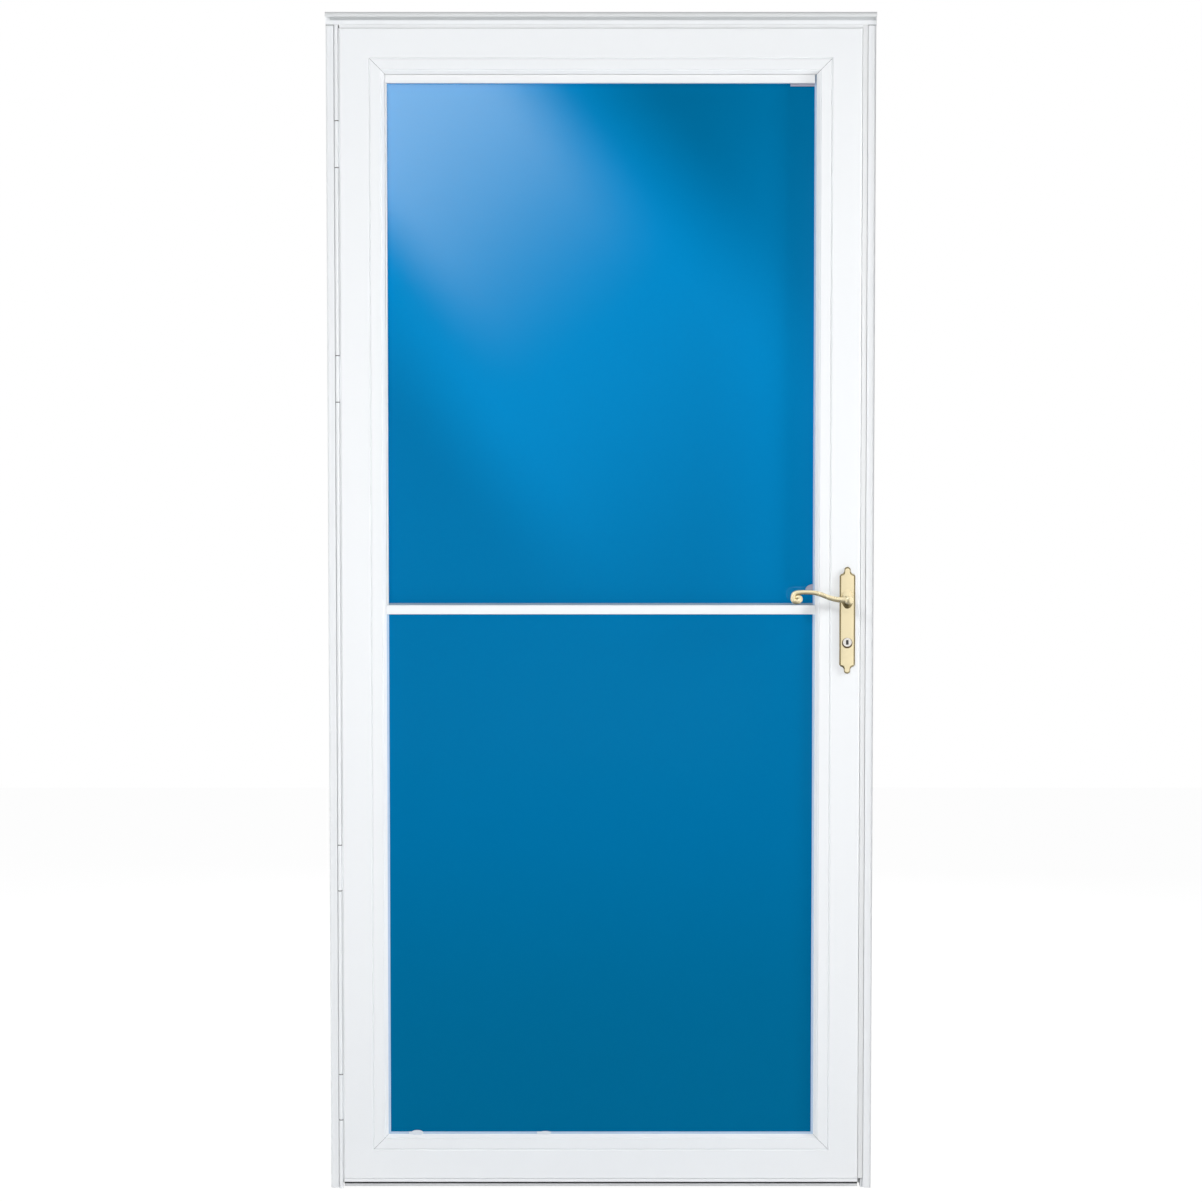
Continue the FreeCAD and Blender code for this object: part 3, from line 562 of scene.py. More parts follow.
def pile_tree():
    """Thin pointed tufts scattered over the backing's inner faces, each leaning a little its own way."""
    tree, given, made = group_named("pile_tufts", "GeometryNodeTree", {
        "Geometry": "Geometry", "Tuft Radius": "Float", "Tuft Height": "Float", "Density": "Float",
        "Lean": "Float", "Seed": "Int", "Finish": "Material",
    }, {"Geometry": "Geometry"})
    scatter = wired(tree, "GeometryNodeDistributePointsOnFaces", {
        "Mesh": given["Geometry"], "Density": given["Density"], "Seed": given["Seed"],
    })
    tuft = wired(tree, "GeometryNodeMeshCone", {
        "Vertices": tuft_sides, "Radius Bottom": given["Tuft Radius"], "Depth": given["Tuft Height"],
        "Radius Top": calculated(tree, "MULTIPLY", given["Tuft Radius"], tip_share),
    }, fill_type="NONE")
    lean = given["Lean"]
    back = calculated(tree, "MULTIPLY", lean, -1.0)
    least = wired(tree, "ShaderNodeCombineXYZ", {"X": back, "Y": back})
    most = wired(tree, "ShaderNodeCombineXYZ", {"X": lean, "Y": lean})
    chance = wired(tree, "FunctionNodeRandomValue", {
        0: least.outputs[0], 1: most.outputs[0], "Seed": given["Seed"],
    }, data_type="FLOAT_VECTOR")
    planted = wired(tree, "GeometryNodeInstanceOnPoints", {
        "Points": scatter.outputs["Points"], "Instance": tuft.outputs["Mesh"],
        "Rotation": scatter.outputs["Rotation"],
    })
    settle(tree, given, made, planted, chance)
    return tree


def block(low, high, bevel=0.0, shape=None):
    """Mesh of a rectangular block between two corners, with its edges eased, in a new or given bmesh."""
    shape = shape or bmesh.new()
    middle = (Vector(low) + Vector(high)) / 2
    size = Vector(high) - Vector(low)
    placed = Matrix.Translation(middle) @ Matrix.Diagonal((*size, 1))
    cube = bmesh.ops.create_cube(shape, size=1.0, matrix=placed)
    if bevel:
        edges = list(dict.fromkeys(edge for corner in cube["verts"] for edge in corner.link_edges))
        bmesh.ops.bevel(shape, geom=edges, offset=bevel, segments=2, profile=0.5, affect="EDGES")
    return shape


def made_piece(name, shape, finish, body):
    """Object from a bmesh, in one finish, riding on a body."""
    mesh = bpy.data.meshes.new(name)
    shape.to_mesh(mesh)
    shape.free()
    mesh.materials.append(finish)
    piece = bpy.data.objects.new(name, mesh)
    scene.collection.objects.link(piece)
    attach(piece, body)
    return piece


pile_wool = finish_named(
    "grey_pile", (0.42, 0.43, 0.44, 1), drift_scale=900.0, tone_drift=0.25, gloss=0.9,
    gloss_drift=0.05, ripple_scale=2500.0, ripple_depth=0.00003)
pile_wool.node_tree.nodes["Principled BSDF"].inputs["Sheen Weight"].default_value = pile_sheen
seals = bmesh.new()
beds = bmesh.new()
for side in ("hinge", "latch", "head"):
    low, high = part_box(side + "_seal")
    bed_y = high.y - pile_backing_height
    block((low.x, bed_y, low.z), high, shape=seals)
    bed_low = low + Vector((1, 0, 1)) * bed_inset
    bed_high = high - Vector((1, 0, 1)) * bed_inset
    if side == "head":
        bed_low.z = (low.z + high.z - pile_width) / 2
        bed_high.z = bed_low.z + pile_width
    else:
        bed_low.x = (low.x + high.x - pile_width) / 2
        bed_high.x = bed_low.x + pile_width
    ring = upright_corners(bed_low.x, bed_high.x, bed_low.z, bed_high.z, bed_y)
    beds.faces.new([beds.verts.new(corner) for corner in ring])
bed_mesh = bpy.data.meshes.new("pile_beds")
beds.to_mesh(bed_mesh)
beds.free()
tufts = grown("pile_tufts", bed_mesh, pile_tree(), {
    "Tuft Radius": tuft_radius,
    "Tuft Height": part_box("head_seal")[1].y - pile_backing_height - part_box("head_seal")[0].y,
    "Density": tufts_per_square_metre, "Lean": tuft_lean, "Seed": pile_seed, "Finish": pile_wool,
})
seals.from_mesh(tufts.data)
bpy.data.objects.remove(tufts)
pile = made_piece("pile_seals", seals, pile_wool, "frame")
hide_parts("hinge_seal", "latch_seal", "head_seal")


# Lip seals: thin white vinyl lips that stand out from the latch jamb and hang from the head jamb, and a
# flat strip on the door's hinge edge, so that no daylight shows round the shut door. The latch lip is
# given a darker grey copy of the vinyl, painted shade for the gap beside the door's edge.
nose_face = -0.0080
lip_back = -0.0068
head_lip_fronts = (-0.0098, -0.0091)
latch_lip_fronts = (-0.0078, -0.0096)
latch_lip_lap = 0.0036
head_lip_clearance = 0.0004
latch_lip_clearance = 0.0009
edge_strip_thickness = 0.0012
edge_strip_front = -0.0134
edge_strip_back = -0.0080
leaf_gap = 0.001
vinyl_ease = 0.0003
vinyl_grain = {
    "drift_scale": 14.0, "tone_drift": 0.03, "gloss": 0.5, "ripple_scale": 900.0, "ripple_depth": 0.00003,
}
leaf_names = ["hinge_leaf_%d" % number for number in range(1, 5)]
white_vinyl = finish_named("white_vinyl", (0.90, 0.91, 0.92, 1), **vinyl_grain)
# Painted shade: a darker grey copy of the white vinyl, for the latch lip.
shaded_white_vinyl = finish_named("shaded_white_vinyl", (0.74, 0.75, 0.755, 1), **vinyl_grain)
slab_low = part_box("hinge_stile")[0]
slab_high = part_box("latch_stile")[1]
leg_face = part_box("strike_plate")[0].x
head_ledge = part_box("latch_jamb")[1].z


def prism(outline, last_outline):
    """Mesh of a solid between two outlines with as many points."""
    shape = bmesh.new()
    near, far = [[shape.verts.new(place) for place in ring] for ring in (outline, last_outline)]
    shape.faces.new(near)
    shape.faces.new(far[::-1])
    for index in range(len(near)):
        after = (index + 1) % len(near)
        shape.faces.new((near[index], far[index], far[after], near[after]))
    bmesh.ops.recalc_face_normals(shape, faces=shape.faces[:])
    return shape


def lip_section(root, tip, fronts):
    """Corners of a soft lip's section as (reach, depth), with a front that leans from root to tip."""
    return ((root, fronts[0]), (root, lip_back), (tip, lip_back), (tip, fronts[1]))


latch_tip = slab_high.x + latch_lip_clearance
latch_section = lip_section(leg_face + latch_lip_lap, latch_tip, latch_lip_fronts)
latch_lip = prism(*[
    [(reach, depth, level) for reach, depth in latch_section] for level in (slab_low.z, head_ledge)
])
made_piece("latch_lip_seal", latch_lip, shaded_white_vinyl, "frame")
head_section = lip_section(head_ledge, slab_high.z + head_lip_clearance, head_lip_fronts)
head_lip = prism(*[
    [(end, depth, reach) for reach, depth in head_section] for end in (slab_low.x, latch_tip)
])
made_piece("head_lip_seal", head_lip, white_vinyl, "frame")
edge_strip = bmesh.new()
strip_levels = [slab_low.z]
for name in leaf_names:
    low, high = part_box(name)
    strip_levels += [low.z - leaf_gap, high.z + leaf_gap]
strip_levels.append(slab_high.z)
for start, end in zip(strip_levels[::2], strip_levels[1::2]):
    block((slab_low.x - edge_strip_thickness, edge_strip_front, start),
          (slab_low.x, edge_strip_back, end), vinyl_ease, shape=edge_strip)
made_piece("hinge_edge_strip", edge_strip, white_vinyl, "door")


# Head joints: a thin bead of grey sealant where each side jamb butts under the head jamb, a strip of grey
# tape under the drip cap that is painted shadow, deepening the crease the cap shades, and white plugs
# pressed into the open ends of the head jamb's nose.
sealant_half = 0.0009
sealant_proud = 0.0003
sealant_inset = 0.0002
sealant_depth = 0.001
sealant_ease = 0.0002
tape_height = 0.0047
tape_proud = 0.0010
tape_left_inset = 0.0075
tape_right_inset = 0.0015
plug_inset = 0.0003
plug_length = 0.006
plug_front = -0.0066
plug_back = -0.0016
nose_wall = 0.0014
nose_width = 0.014
grey_sealant = finish_named(
    "grey_sealant", (0.40, 0.41, 0.42, 1), drift_scale=80.0, tone_drift=0.12, gloss=0.7,
    ripple_scale=1500.0, ripple_depth=0.00004)
unit_ends = ((cad_box[0].x, 1), (cad_box[1].x, -1))
joints = bmesh.new()
for outer, inward in unit_ends:
    ends = sorted((outer + inward * sealant_inset, outer + inward * nose_width))
    block((ends[0], nose_face - sealant_proud, head_ledge - sealant_half),
          (ends[1], nose_face + sealant_depth, head_ledge + sealant_half), sealant_ease, shape=joints)
made_piece("corner_sealant", joints, grey_sealant, "frame")
# Painted shadow: a grey strip on the head jamb's face just under the drip cap.
shadow_tape = finish_named(
    "shadow_tape", (0.68, 0.70, 0.71, 1), drift_scale=30.0, tone_drift=0.06, gloss=0.8,
    ripple_scale=1200.0, ripple_depth=0.00004)
cap_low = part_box("drip_cap")[0]
tape = block((cad_box[0].x + tape_left_inset, nose_face - tape_proud, cap_low.z - tape_height),
             (cad_box[1].x - tape_right_inset, nose_face, cap_low.z), vinyl_ease)
made_piece("cap_shadow_tape", tape, shadow_tape, "frame")
plugs = bmesh.new()
for outer, inward in unit_ends:
    ends = sorted((outer + inward * plug_inset, outer + inward * plug_length))
    block((ends[0], plug_front, head_ledge + nose_wall),
          (ends[1], plug_back, cad_box[1].z - nose_wall), vinyl_ease, shape=plugs)
made_piece("head_end_plugs", plugs, white_vinyl, "frame")


# Hinges: four enamelled leaves on the door's edge, each knuckle on a steel pin in the jamb's barrel.
# Dark nylon washers cap the barrel at the knuckle's ends; their black is partly painted shade, darkening
# the gaps between knuckles. Three flush screws hold each leaf.
washer_radius = 0.00358
washer_gap = 0.00005
washer_depth = 0.0014
leaf_screw_spread = 0.028
leaf_screw_depth = 0.004
leaf_screw_head = (0.0036, 0.0007)
leaf_thickness = 0.002
turned_steps = 48
turned_crease = 40
dress(zinc, "hinge_pins")
dress(enamel, *leaf_names)
black_nylon = finish_named(
    "black_nylon", (0.035, 0.035, 0.036, 1), drift_scale=200.0, tone_drift=0.1, gloss=0.55,
    ripple_scale=1500.0, ripple_depth=0.00002)


def turned(shape, profile, centre, along):
    """Add to a bmesh a solid turned about an axis through centre, from (radius, distance along) points."""
    along = Vector(along)
    sideways = along.orthogonal().normalized()
    rim = [shape.verts.new(Vector(centre) + sideways * radius + along * run) for radius, run in profile]
    edges = [shape.edges.new(pair) for pair in zip(rim, rim[1:])]
    bmesh.ops.spin(
        shape, geom=rim + edges, cent=centre, axis=along, angle=math.tau, steps=turned_steps,
        use_merge=True)


def smooth(piece, crease_degrees):
    """Shade a piece smooth, with its sharp edges kept."""
    for face in piece.data.polygons:
        face.use_smooth = True
    piece.data.set_sharp_from_angle(angle=math.radians(crease_degrees))


pin_low, pin_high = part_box("hinge_pins")
pin_radius = (pin_high.x - pin_low.x) / 2
hinge_axis = (pin_low + pin_high) / 2
washer_ring = (
    (pin_radius, washer_gap), (washer_radius, washer_gap),
    (washer_radius, washer_depth), (pin_radius, washer_depth),
)
washers = bmesh.new()
leaf_seats = []
for name in leaf_names:
    low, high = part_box(name)
    for end, way in ((low.z, -1), (high.z, 1)):
        turned(washers, washer_ring, (hinge_axis.x, hinge_axis.y, end), (0, 0, way))
    leaf_face = high.x - leaf_thickness
    middle = (low.z + high.z) / 2
    leaf_seats += [
        (leaf_face, leaf_screw_depth, middle + step * leaf_screw_spread) for step in (-1, 0, 1)
    ]
bmesh.ops.recalc_face_normals(washers, faces=washers.faces[:])
smooth(made_piece("hinge_washers", washers, black_nylon, "frame"), turned_crease)
screws("leaf_screws", leaf_seats, (-1, 0, 0), leaf_screw_head, zinc, "door")


# Door frame: hollow stiles and rails of white enamelled aluminium, mitred at the corners.
# The glazing insert inside them has a groove, a flat and a bevel, with fine open mitres.
mitre_width = 0.0010
mitre_tone = 0.42
dress(enamel, "hinge_stile", "latch_stile", "top_rail", "bottom_rail")
dress(enamel, "sash_left_stile", "sash_top_rail", "meeting_bar")


def object_axes(tree):
    """Outputs of the object coordinates, one for each axis."""
    place = tree.nodes.new("ShaderNodeTexCoord").outputs["Object"]
    return wired(tree, "ShaderNodeSeparateXYZ", {0: place}).outputs


def mitred_enamel(low, high):
    """White enamel with a dark hairline on the four mitres of a ring between two corners."""
    finish = enamel.copy()
    finish.name = "bead_enamel"
    tree = finish.node_tree
    axes = object_axes(tree)
    depths = []
    for axis, first, last in (("X", low.x, high.x), ("Z", low.z, high.z)):
        reach = calculated(tree, "ABSOLUTE", calculated(tree, "SUBTRACT", axes[axis], (first + last) / 2))
        depths.append(calculated(tree, "SUBTRACT", reach, (last - first) / 2))
    seam = calculated(tree, "COMPARE", *depths, mitre_width / 2)
    darken = ranged(tree, seam, 0.0, 1.0, 1.0, mitre_tone, "LINEAR")
    toned = scaled(tree, tree.nodes["skin"].outputs["Colour"], darken)
    tree.links.new(toned, tree.nodes["Principled BSDF"].inputs["Base Color"])
    return finish


insert_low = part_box("left_bead")[0]
insert_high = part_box("right_bead")[1]
dress(mitred_enamel(insert_low, insert_high), "left_bead", "right_bead", "top_bead", "bottom_bead")


# Sash trim: white vinyl strips on the face of the sash's head and hinge stile, which bring it out to the
# tip of the bead. The foot rail is painted grey-blue, painted shade where it shows above the meeting bar.
trim_front = -0.0049
trim_clearance = 0.0004
trim_ease = 0.0004
stile_low, stile_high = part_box("sash_left_stile")
rail_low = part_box("sash_top_rail")[0]
bead_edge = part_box("left_bead")[1].x
bead_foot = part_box("top_bead")[0].z
right_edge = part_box("sash_right_stile")[0].x
foot_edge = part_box("meeting_bar")[1].z
trim = block((bead_edge + trim_clearance, trim_front, rail_low.z),
             (right_edge, rail_low.y, bead_foot - trim_clearance), trim_ease)
block((bead_edge + trim_clearance, trim_front, foot_edge + trim_clearance),
      (stile_high.x, stile_low.y, rail_low.z), trim_ease, shape=trim)
made_piece("sash_trim", trim, white_vinyl, "door")
# Painted shade: grey-blue on the sash's foot rail.
blue_grey_shade = finish_named(
    "blue_grey_shade", (0.26, 0.36, 0.46, 1), drift_scale=12.0, tone_drift=0.06, gloss=0.5,
    ripple_scale=900.0, ripple_depth=0.00003)
dress(blue_grey_shade, "sash_bottom_rail")


# Panes: clear tempered glass with a deep blue film bonded to the back, so that each pane is one
# glossy blue sheet. The film's blue deepens towards head and foot. A slanting beam of brighter blue from
# the upper corner on the hinge side is a painted highlight, and the latch side of the upper pane is
# painted lighter to make up for the shadow the stile casts there.
film_height = 2.05
film_blues = (
    (0.34, (0.0, 0.147, 0.319, 1)),
    (0.62, (0.0, 0.168, 0.397, 1)),
    (0.98, (0.0, 0.178, 0.418, 1)),
    (1.43, (0.0, 0.188, 0.456, 1)),
    (1.93, (0.0, 0.144, 0.315, 1)),
)
# Blue and edges of the painted highlight beam.
painted_beam_blue = (0.0, 0.258, 0.610, 1)
painted_beam_edges = {
    "Low Start": -0.36, "Low End": -0.19, "High Start": 0.18, "High End": 0.38,
    "Fade Start": 0.46, "Fade End": 1.06,
}
# Painted light on the upper pane's latch side, offsetting the stile's shadow.
painted_light_from = (0.62, 0.90)
painted_light_to = (0.83, 1.12)
painted_light_gain = 0.17
pane_ease = 0.0006


def mixed(tree, share, first, second):
    """Colour between two by a share. A mix node's colours are its inputs 6 and 7 and its output 2."""
    return wired(tree, "ShaderNodeMix", {"Factor": share, 6: first, 7: second}, data_type="RGBA").outputs[2]


def blue_film():
    """Glossy blue whose tone changes with height, with a painted highlight in the slanting beam and painted light
    on the upper pane's latch side.
    """
    finish = finish_named(
        "blue_film", painted_beam_blue, drift_scale=1.6, tone_drift=0.03, gloss=0.05, gloss_drift=0.01,
        ripple_scale=9.0, ripple_depth=0.00006)
    tree = finish.node_tree
    axes = object_axes(tree)
    ramp = wired(tree, "ShaderNodeValToRGB", {"Fac": calculated(tree, "DIVIDE", axes["Z"], film_height)})
    ramp.color_ramp.interpolation = "B_SPLINE"
    stops = ramp.color_ramp.elements
    while len(stops) < len(film_blues):
        stops.new(1.0)
    for stop, (height, blue) in zip(stops, film_blues):
        stop.position = height / film_height
        stop.color = blue
    # Painted highlight: the film turns a brighter blue inside the slanting beam.
    blues = mixed(tree, beam_mask(tree, beam_corner, painted_beam_edges), ramp.outputs["Color"], painted_beam_blue)
    # Painted light: the upper pane's latch side is made lighter where the stile shades it.
    rises = [
        ranged(tree, axes[axis], first, last) for axis, first, last in zip("XZ", painted_light_from, painted_light_to)
    ]
    gain = calculated(tree, "MULTIPLY_ADD", calculated(tree, "MULTIPLY", *rises), painted_light_gain, 1.0)
    tree.links.new(scaled(tree, blues, gain), tree.nodes["skin"].inputs["Colour"])
    return finish


tinted = blue_film()
for level in ("lower", "upper"):
    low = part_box(level + "_pane")[0]
    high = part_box(level + "_film")[1]
    pane = made_piece(level + "_tinted_pane", block(low, high, pane_ease), tinted, "door")
    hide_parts(level + "_pane", level + "_film")


# Gasket and small fittings: a pale bluish vinyl strip round the lower pane, a vinyl-capped sash stile on
# the latch side, white clips with round noses under the lower pane, and a grey tab and catch on the sash.
clip_width = 0.023
nose_half_width = 0.0105
nose_offset = 0.0145
nose_drop = 0.0020
nose_rises = (0.0026, 0.0008)
nose_share = 0.9
nose_sides = 32
catch_steps = 12
pale_vinyl = finish_named(
    "pale_vinyl", (0.46, 0.60, 0.78, 1), drift_scale=12.0, tone_drift=0.06, gloss=0.5,
    ripple_scale=1200.0, ripple_depth=0.00003)
white_plastic = finish_named(
    "white_plastic", (0.72, 0.77, 0.83, 1), drift_scale=40.0, tone_drift=0.04, gloss=0.42,
    ripple_scale=1600.0, ripple_depth=0.00003)
dress(pale_vinyl, "lower_gasket", "sash_right_stile")
grey_plastic = finish_named(
    "grey_plastic", (0.40, 0.40, 0.49, 1), drift_scale=40.0, tone_drift=0.06, gloss=0.45,
    ripple_scale=1600.0, ripple_depth=0.00003)
dress(white_plastic, "pane_clips")
clips_low, clips_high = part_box("pane_clips")
nose_depth = (clips_high.y - clips_low.y) * nose_share
upright = Matrix.Rotation(math.pi / 2, 4, "X")
noses = bmesh.new()
for left, rise in ((clips_low.x, nose_rises[0]), (clips_high.x - clip_width, nose_rises[1])):
    middle = Vector((left + nose_offset, (clips_low.y + clips_high.y) / 2, clips_high.z - nose_drop))
    size = Matrix.Diagonal((nose_half_width, nose_depth, rise + nose_drop, 1))
    bmesh.ops.create_cone(
        noses, cap_ends=True, segments=nose_sides, radius1=1.0, radius2=1.0, depth=1.0,
        matrix=Matrix.Translation(middle) @ size @ upright)
smooth(made_piece("clip_noses", noses, white_plastic, "door"), turned_crease)
dress(grey_plastic, "sash_tab")
catch_low, catch_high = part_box("sash_catch")
catch_size = catch_high - catch_low
catch_turns = [math.pi / 2 * step / catch_steps for step in range(catch_steps + 1)]
catch_outline = [(catch_high.x, catch_low.z)] + [
    (catch_high.x - catch_size.x * math.sin(turn), catch_low.z + catch_size.z * math.cos(turn))
    for turn in catch_turns
]
catch_plate = prism(*[
    [(x, depth, z) for x, z in catch_outline] for depth in (catch_low.y, catch_high.y)
])
catch = made_piece("rounded_catch", catch_plate, grey_plastic, "door")
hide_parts("sash_catch")


# Lock and its plates: a steel lock let into the latch stile, between an ornate plate and a plain one of
# polished brass. The plates' bevels are painted dark olive, a painted reflection along their edges. A dark
# disc set low under the key cylinder is painted shadow, and a black plate on the key plug is painted
# shade for the keyway.
brass_colour = (0.92, 0.80, 0.52, 1)
painted_shade_colour = (0.24, 0.19, 0.085, 1)
nickel_colour = (0.96, 0.92, 0.87, 1)
shadow_disc_radius = 0.0092
shadow_disc_drop = 0.0014
shadow_disc_rise = 0.0007
shadow_disc_ease = 0.0002
keyway_shade_half_width = 0.0023
keyway_shade_half_height = 0.0041
keyway_shade_proud = 0.00015
keyway_shade_thickness = 0.0012
keyway_shade_ease = 0.0004
faceplate_screw_inset = 0.007
faceplate_screw_head = (0.0034, 0.0006)
plate_screw_inset = 0.024
plate_screw_head = (0.0032, 0.0014)
weld_distance = 0.00001
brass = finish_named(
    "polished_brass", brass_colour, metallic=0.66, drift_scale=45.0, tone_drift=0.03, gloss=0.11,
    gloss_drift=0.03, ripple_scale=160.0, ripple_depth=0.000012)
nickel = finish_named(
    "satin_nickel", nickel_colour, metallic=0.66, drift_scale=90.0, tone_drift=0.04, gloss=0.14,
    gloss_drift=0.05, ripple_scale=700.0, ripple_depth=0.00002)
shadow_disc_finish = finish_named(
    "shadow_disc_finish", (0.10, 0.065, 0.03, 1), metallic=0.4, drift_scale=120.0, tone_drift=0.1, gloss=0.5,
    ripple_scale=700.0, ripple_depth=0.00002)


def brass_with_painted_shade(name, lit_way, both_ways, dark_at, lit_at):
    """Brass with painted shade: it darkens where its faces turn away from one way, or from it and its opposite."""
    finish = brass.copy()
    finish.name = name
    tree = finish.node_tree
    normal = tree.nodes.new("ShaderNodeTexCoord").outputs["Normal"]
    facing = along_way(tree, normal, lit_way)
    if both_ways:
        facing = calculated(tree, "ABSOLUTE", facing)
    lit_share = ranged(tree, facing, dark_at, lit_at, kind="LINEAR")
    tones = mixed(tree, lit_share, painted_shade_colour, brass_colour)
    tree.links.new(tones, tree.nodes["skin"].inputs["Colour"])
    return finish


# Painted reflection: the plates darken to olive on every face that turns away from front and back.
edged_brass = brass_with_painted_shade("edged_brass", (0, 1, 0), both_ways=True, dark_at=0.75, lit_at=0.98)
dress(edged_brass, "outside_plate", "inside_plate")
dress(zinc, "lock_case", "spindle")
dress(nickel, "cylinder_ring", "key_plug")
dress(brass, "thumb_turn")
key_low, key_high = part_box("cylinder_ring")
outside_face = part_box("outside_plate")[0].y
# Painted shadow: a dark disc set a little below the key cylinder, whose crescent stands in for the cylinder's
# shadow on the plate.
shadow_disc = bmesh.new()
turned(shadow_disc, (
    (0.0, 0.0), (shadow_disc_radius, 0.0), (shadow_disc_radius - shadow_disc_ease, shadow_disc_rise), (0.0, shadow_disc_rise),
), ((key_low.x + key_high.x) / 2, outside_face, (key_low.z + key_high.z) / 2 - shadow_disc_drop), (0, -1, 0))
bmesh.ops.remove_doubles(shadow_disc, verts=shadow_disc.verts[:], dist=weld_distance)
bmesh.ops.recalc_face_normals(shadow_disc, faces=shadow_disc.faces[:])
smooth(made_piece("cylinder_shadow_disc", shadow_disc, shadow_disc_finish, "door"), turned_crease)
plug_low, plug_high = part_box("key_plug")
plug_middle = (plug_low + plug_high) / 2
# Painted shade: a black plate on the key plug's face stands in for the dark of the keyway.
keyway_shade_front = plug_low.y - keyway_shade_proud
keyway_shade_back = keyway_shade_front + keyway_shade_thickness
keyway_shade_block = block(
    (plug_middle.x - keyway_shade_half_width, keyway_shade_front, plug_middle.z - keyway_shade_half_height),
    (plug_middle.x + keyway_shade_half_width, keyway_shade_back, plug_middle.z + keyway_shade_half_height), keyway_shade_ease)
made_piece("keyway_shade", keyway_shade_block, black_nylon, "key")
case_low, case_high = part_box("lock_case")
screws("faceplate_screws", [
    (case_high.x, (case_low.y + case_high.y) / 2, z)
    for z in (case_low.z + faceplate_screw_inset, case_high.z - faceplate_screw_inset)
], (1, 0, 0), faceplate_screw_head, zinc, "door")
plate_low, plate_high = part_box("inside_plate")
screws("inside_plate_screws", [
    ((plate_low.x + plate_high.x) / 2, plate_high.y, z)
    for z in (plate_low.z + plate_screw_inset, plate_high.z - plate_screw_inset)
], (0, 1, 0), plate_screw_head, brass, "door")


# Levers: cast and polished brass, one on each side of the door. An oval boss on the plate carries a neck
# and hub, from which the arm rises, thins and curls in on itself at its end. The hub's profile is a list
# of radius and distance along, and the arm's route a list of distance to the left, rise and radius.
boss_half_width = 0.0102
boss_half_height = 0.0165
boss_rise = 0.0062
boss_bore = 0.0064
boss_rings = 9
boss_sides = 48
boss_swell = 0.35
cast_crease = 50
lever_gloss = 0.27
hub_half = 0.0065
hub_profile = (
    (0.0, 0.0), (0.0060, 0.0), (0.0060, 0.0190), (0.0063, 0.0235), (0.0074, 0.0262), (0.0080, 0.0290),
    (0.0080, 0.0345), (0.0077, 0.0374), (0.0067, 0.0393), (0.0045, 0.0401), (0.0, 0.0402),
)
arm_route = (
    (0.0000, 0.0000, 0.0052), (0.0140, 0.0000, 0.0048), (0.0330, 0.0034, 0.0042), (0.0540, 0.0124, 0.0040),
    (0.0720, 0.0140, 0.0040), (0.0880, 0.0137, 0.0041), (0.0958, 0.0116, 0.0043), (0.0974, 0.0042, 0.0045),
    (0.0955, -0.0018, 0.0047), (0.0890, -0.0024, 0.0050), (0.0846, 0.0006, 0.0050), (0.0858, 0.0052, 0.0046),
    (0.0900, 0.0054, 0.0042), (0.0912, 0.0026, 0.0034), (0.0905, 0.0014, 0.0003),
)
pivot = Vector(next(joint for joint in frame["joints"] if joint["name"] == "lever_turn")["pos_m"])


def lever_arm(depth):
    """Mesh of the arm, a round bar along a smooth spline that swells and thins with the route."""
    line = bpy.data.curves.new("arm_line", "CURVE")
    line.dimensions = "3D"
    line.bevel_depth = 1.0
    line.bevel_resolution = 6
    line.resolution_u = 6
    line.use_fill_caps = True
    spline = line.splines.new("NURBS")
    spline.points.add(len(arm_route) - 1)
    for point, (left, up, radius) in zip(spline.points, arm_route):
        point.co = (pivot.x - left, depth, pivot.z + up, 1)
        point.radius = radius
    spline.order_u = 3
    spline.use_endpoint_u = True
    holder = bpy.data.objects.new("arm_line", line)
    scene.collection.objects.link(holder)
    mesh = bpy.data.meshes.new_from_object(holder.evaluated_get(bpy.context.evaluated_depsgraph_get()))
    bpy.data.objects.remove(holder)
    return mesh


def oval_boss(base, outward):
    """Domed oval ring round the neck, from an ellipse on the plate up to its round bore."""
    shape = bmesh.new()
    angles = [math.tau * side / boss_sides for side in range(boss_sides)]
    sizes = []
    for step in range(boss_rings):
        share = step / (boss_rings - 1)
        wide = boss_half_width + (boss_bore - boss_half_width) * share
        high = boss_half_height + (boss_bore - boss_half_height) * share
        sizes.append((wide, high, boss_rise * share * (1 + boss_swell - boss_swell * share)))
    sizes.append((boss_bore, boss_bore, 0.0))
    rings = []
    for wide, high, rise in sizes:
        depth = base + outward * rise
        ring = [(pivot.x + wide * math.cos(a), depth, pivot.z + high * math.sin(a)) for a in angles]
        rings.append([shape.verts.new(place) for place in ring])
    for here, following in zip(rings, rings[1:] + rings[:1]):
        for index in range(boss_sides):
            after = (index + 1) % boss_sides
            shape.faces.new((here[index], here[after], following[after], following[index]))
    bmesh.ops.recalc_face_normals(shape, faces=shape.faces[:])
    return shape


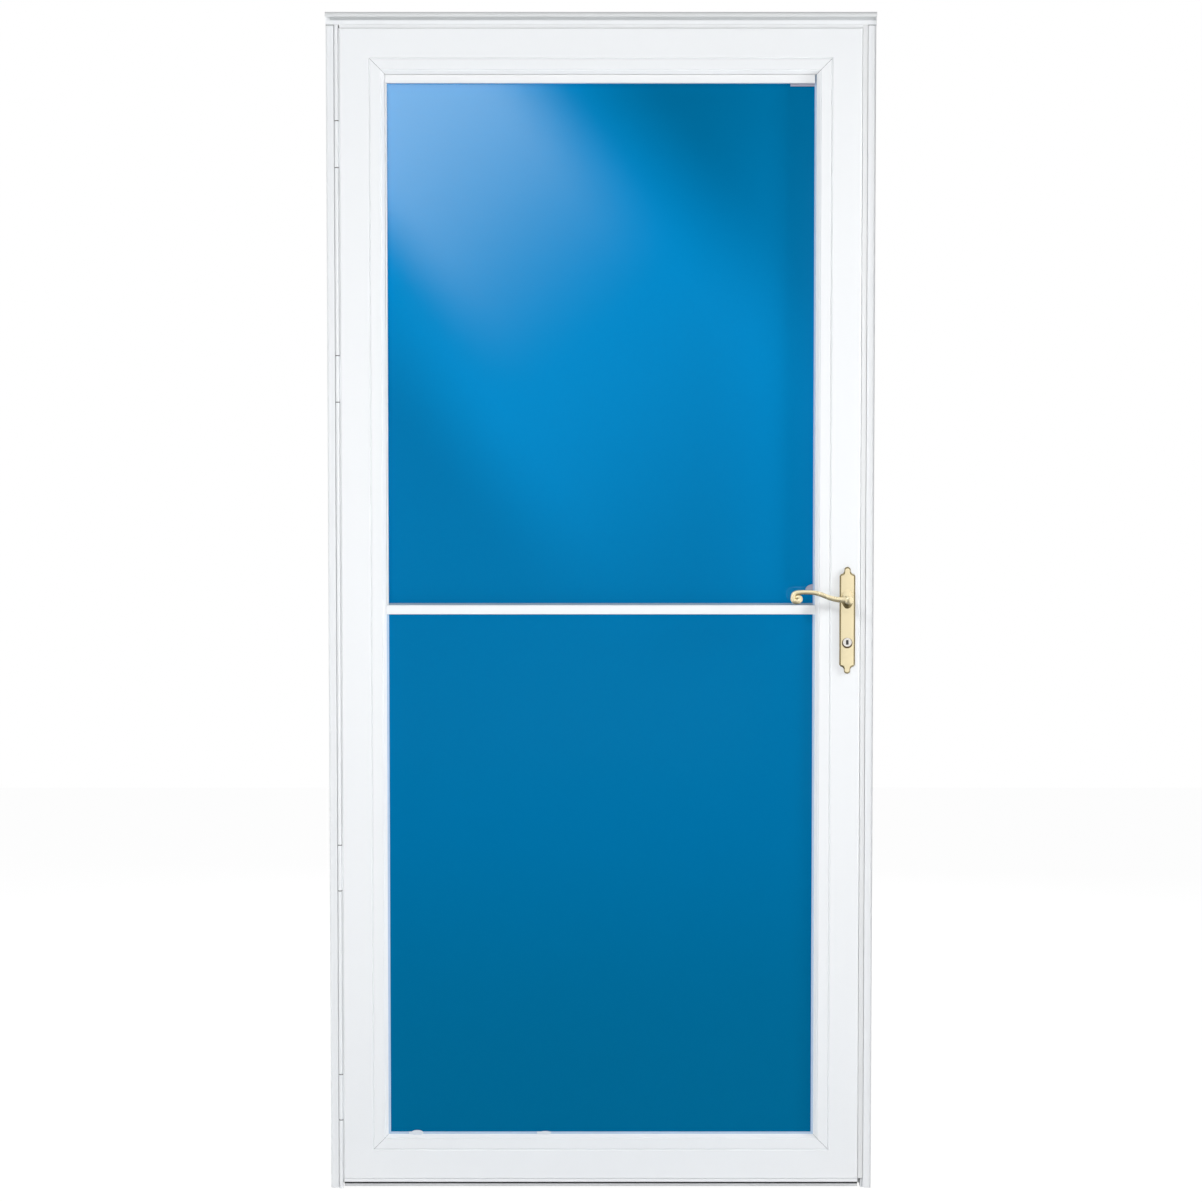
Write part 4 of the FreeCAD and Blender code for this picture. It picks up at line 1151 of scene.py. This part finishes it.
# Painted shade: the lever and its boss darken on faces that turn downwards, the boss over its lower part.
lever_brass = brass_with_painted_shade("lever_brass", (0, 0, 1), both_ways=False, dark_at=-0.9, lit_at=-0.35)
lever_brass.node_tree.nodes["skin"].inputs["Gloss"].default_value = lever_gloss
boss_brass = brass_with_painted_shade("boss_brass", (0, 0, 1), both_ways=False, dark_at=-0.30, lit_at=0.40)
boss_brass.node_tree.nodes["skin"].inputs["Gloss"].default_value = lever_gloss
for side, outward in (("outside", -1), ("inside", 1)):
    low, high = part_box(side + "_lever")
    root = high.y if outward < 0 else low.y
    tip = low.y if outward < 0 else high.y
    plate_face = outside_face if outward < 0 else plate_high.y
    boss = made_piece(side + "_lever_boss", oval_boss(plate_face, outward), boss_brass, "door")
    smooth(boss, cast_crease)
    cast = bmesh.new()
    turned(cast, hub_profile, (pivot.x, root, pivot.z), (0, outward, 0))
    cast.from_mesh(lever_arm(tip - outward * hub_half))
    bmesh.ops.remove_doubles(cast, verts=cast.verts[:], dist=weld_distance)
    bmesh.ops.recalc_face_normals(cast, faces=cast.faces[:])
    lever = made_piece(side + "_scroll_lever", cast, lever_brass, "lever")
    smooth(lever, cast_crease)
    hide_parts(side + "_lever")


# Sweep: an enamelled channel under the bottom rail holds two soft black vinyl fins that brush the sill.
# Their lower halves are pale grey.
fin_colour = (0.03, 0.03, 0.032, 1)
pale_fin_colour = (0.66, 0.67, 0.68, 1)
pale_below = 0.0070
black_above = 0.0084


def two_tone_vinyl():
    """Black vinyl that turns pale towards its lower edge."""
    finish = finish_named(
        "black_vinyl", fin_colour, drift_scale=8.0, tone_drift=0.15, gloss=0.6,
        ripple_scale=800.0, ripple_depth=0.00005)
    tree = finish.node_tree
    black_share = ranged(tree, object_axes(tree)["Z"], pale_below, black_above, kind="LINEAR")
    tree.links.new(mixed(tree, black_share, pale_fin_colour, fin_colour), tree.nodes["skin"].inputs["Colour"])
    return finish


dress(enamel, "sweep_channel")
dress(two_tone_vinyl(), "sweep_fins")
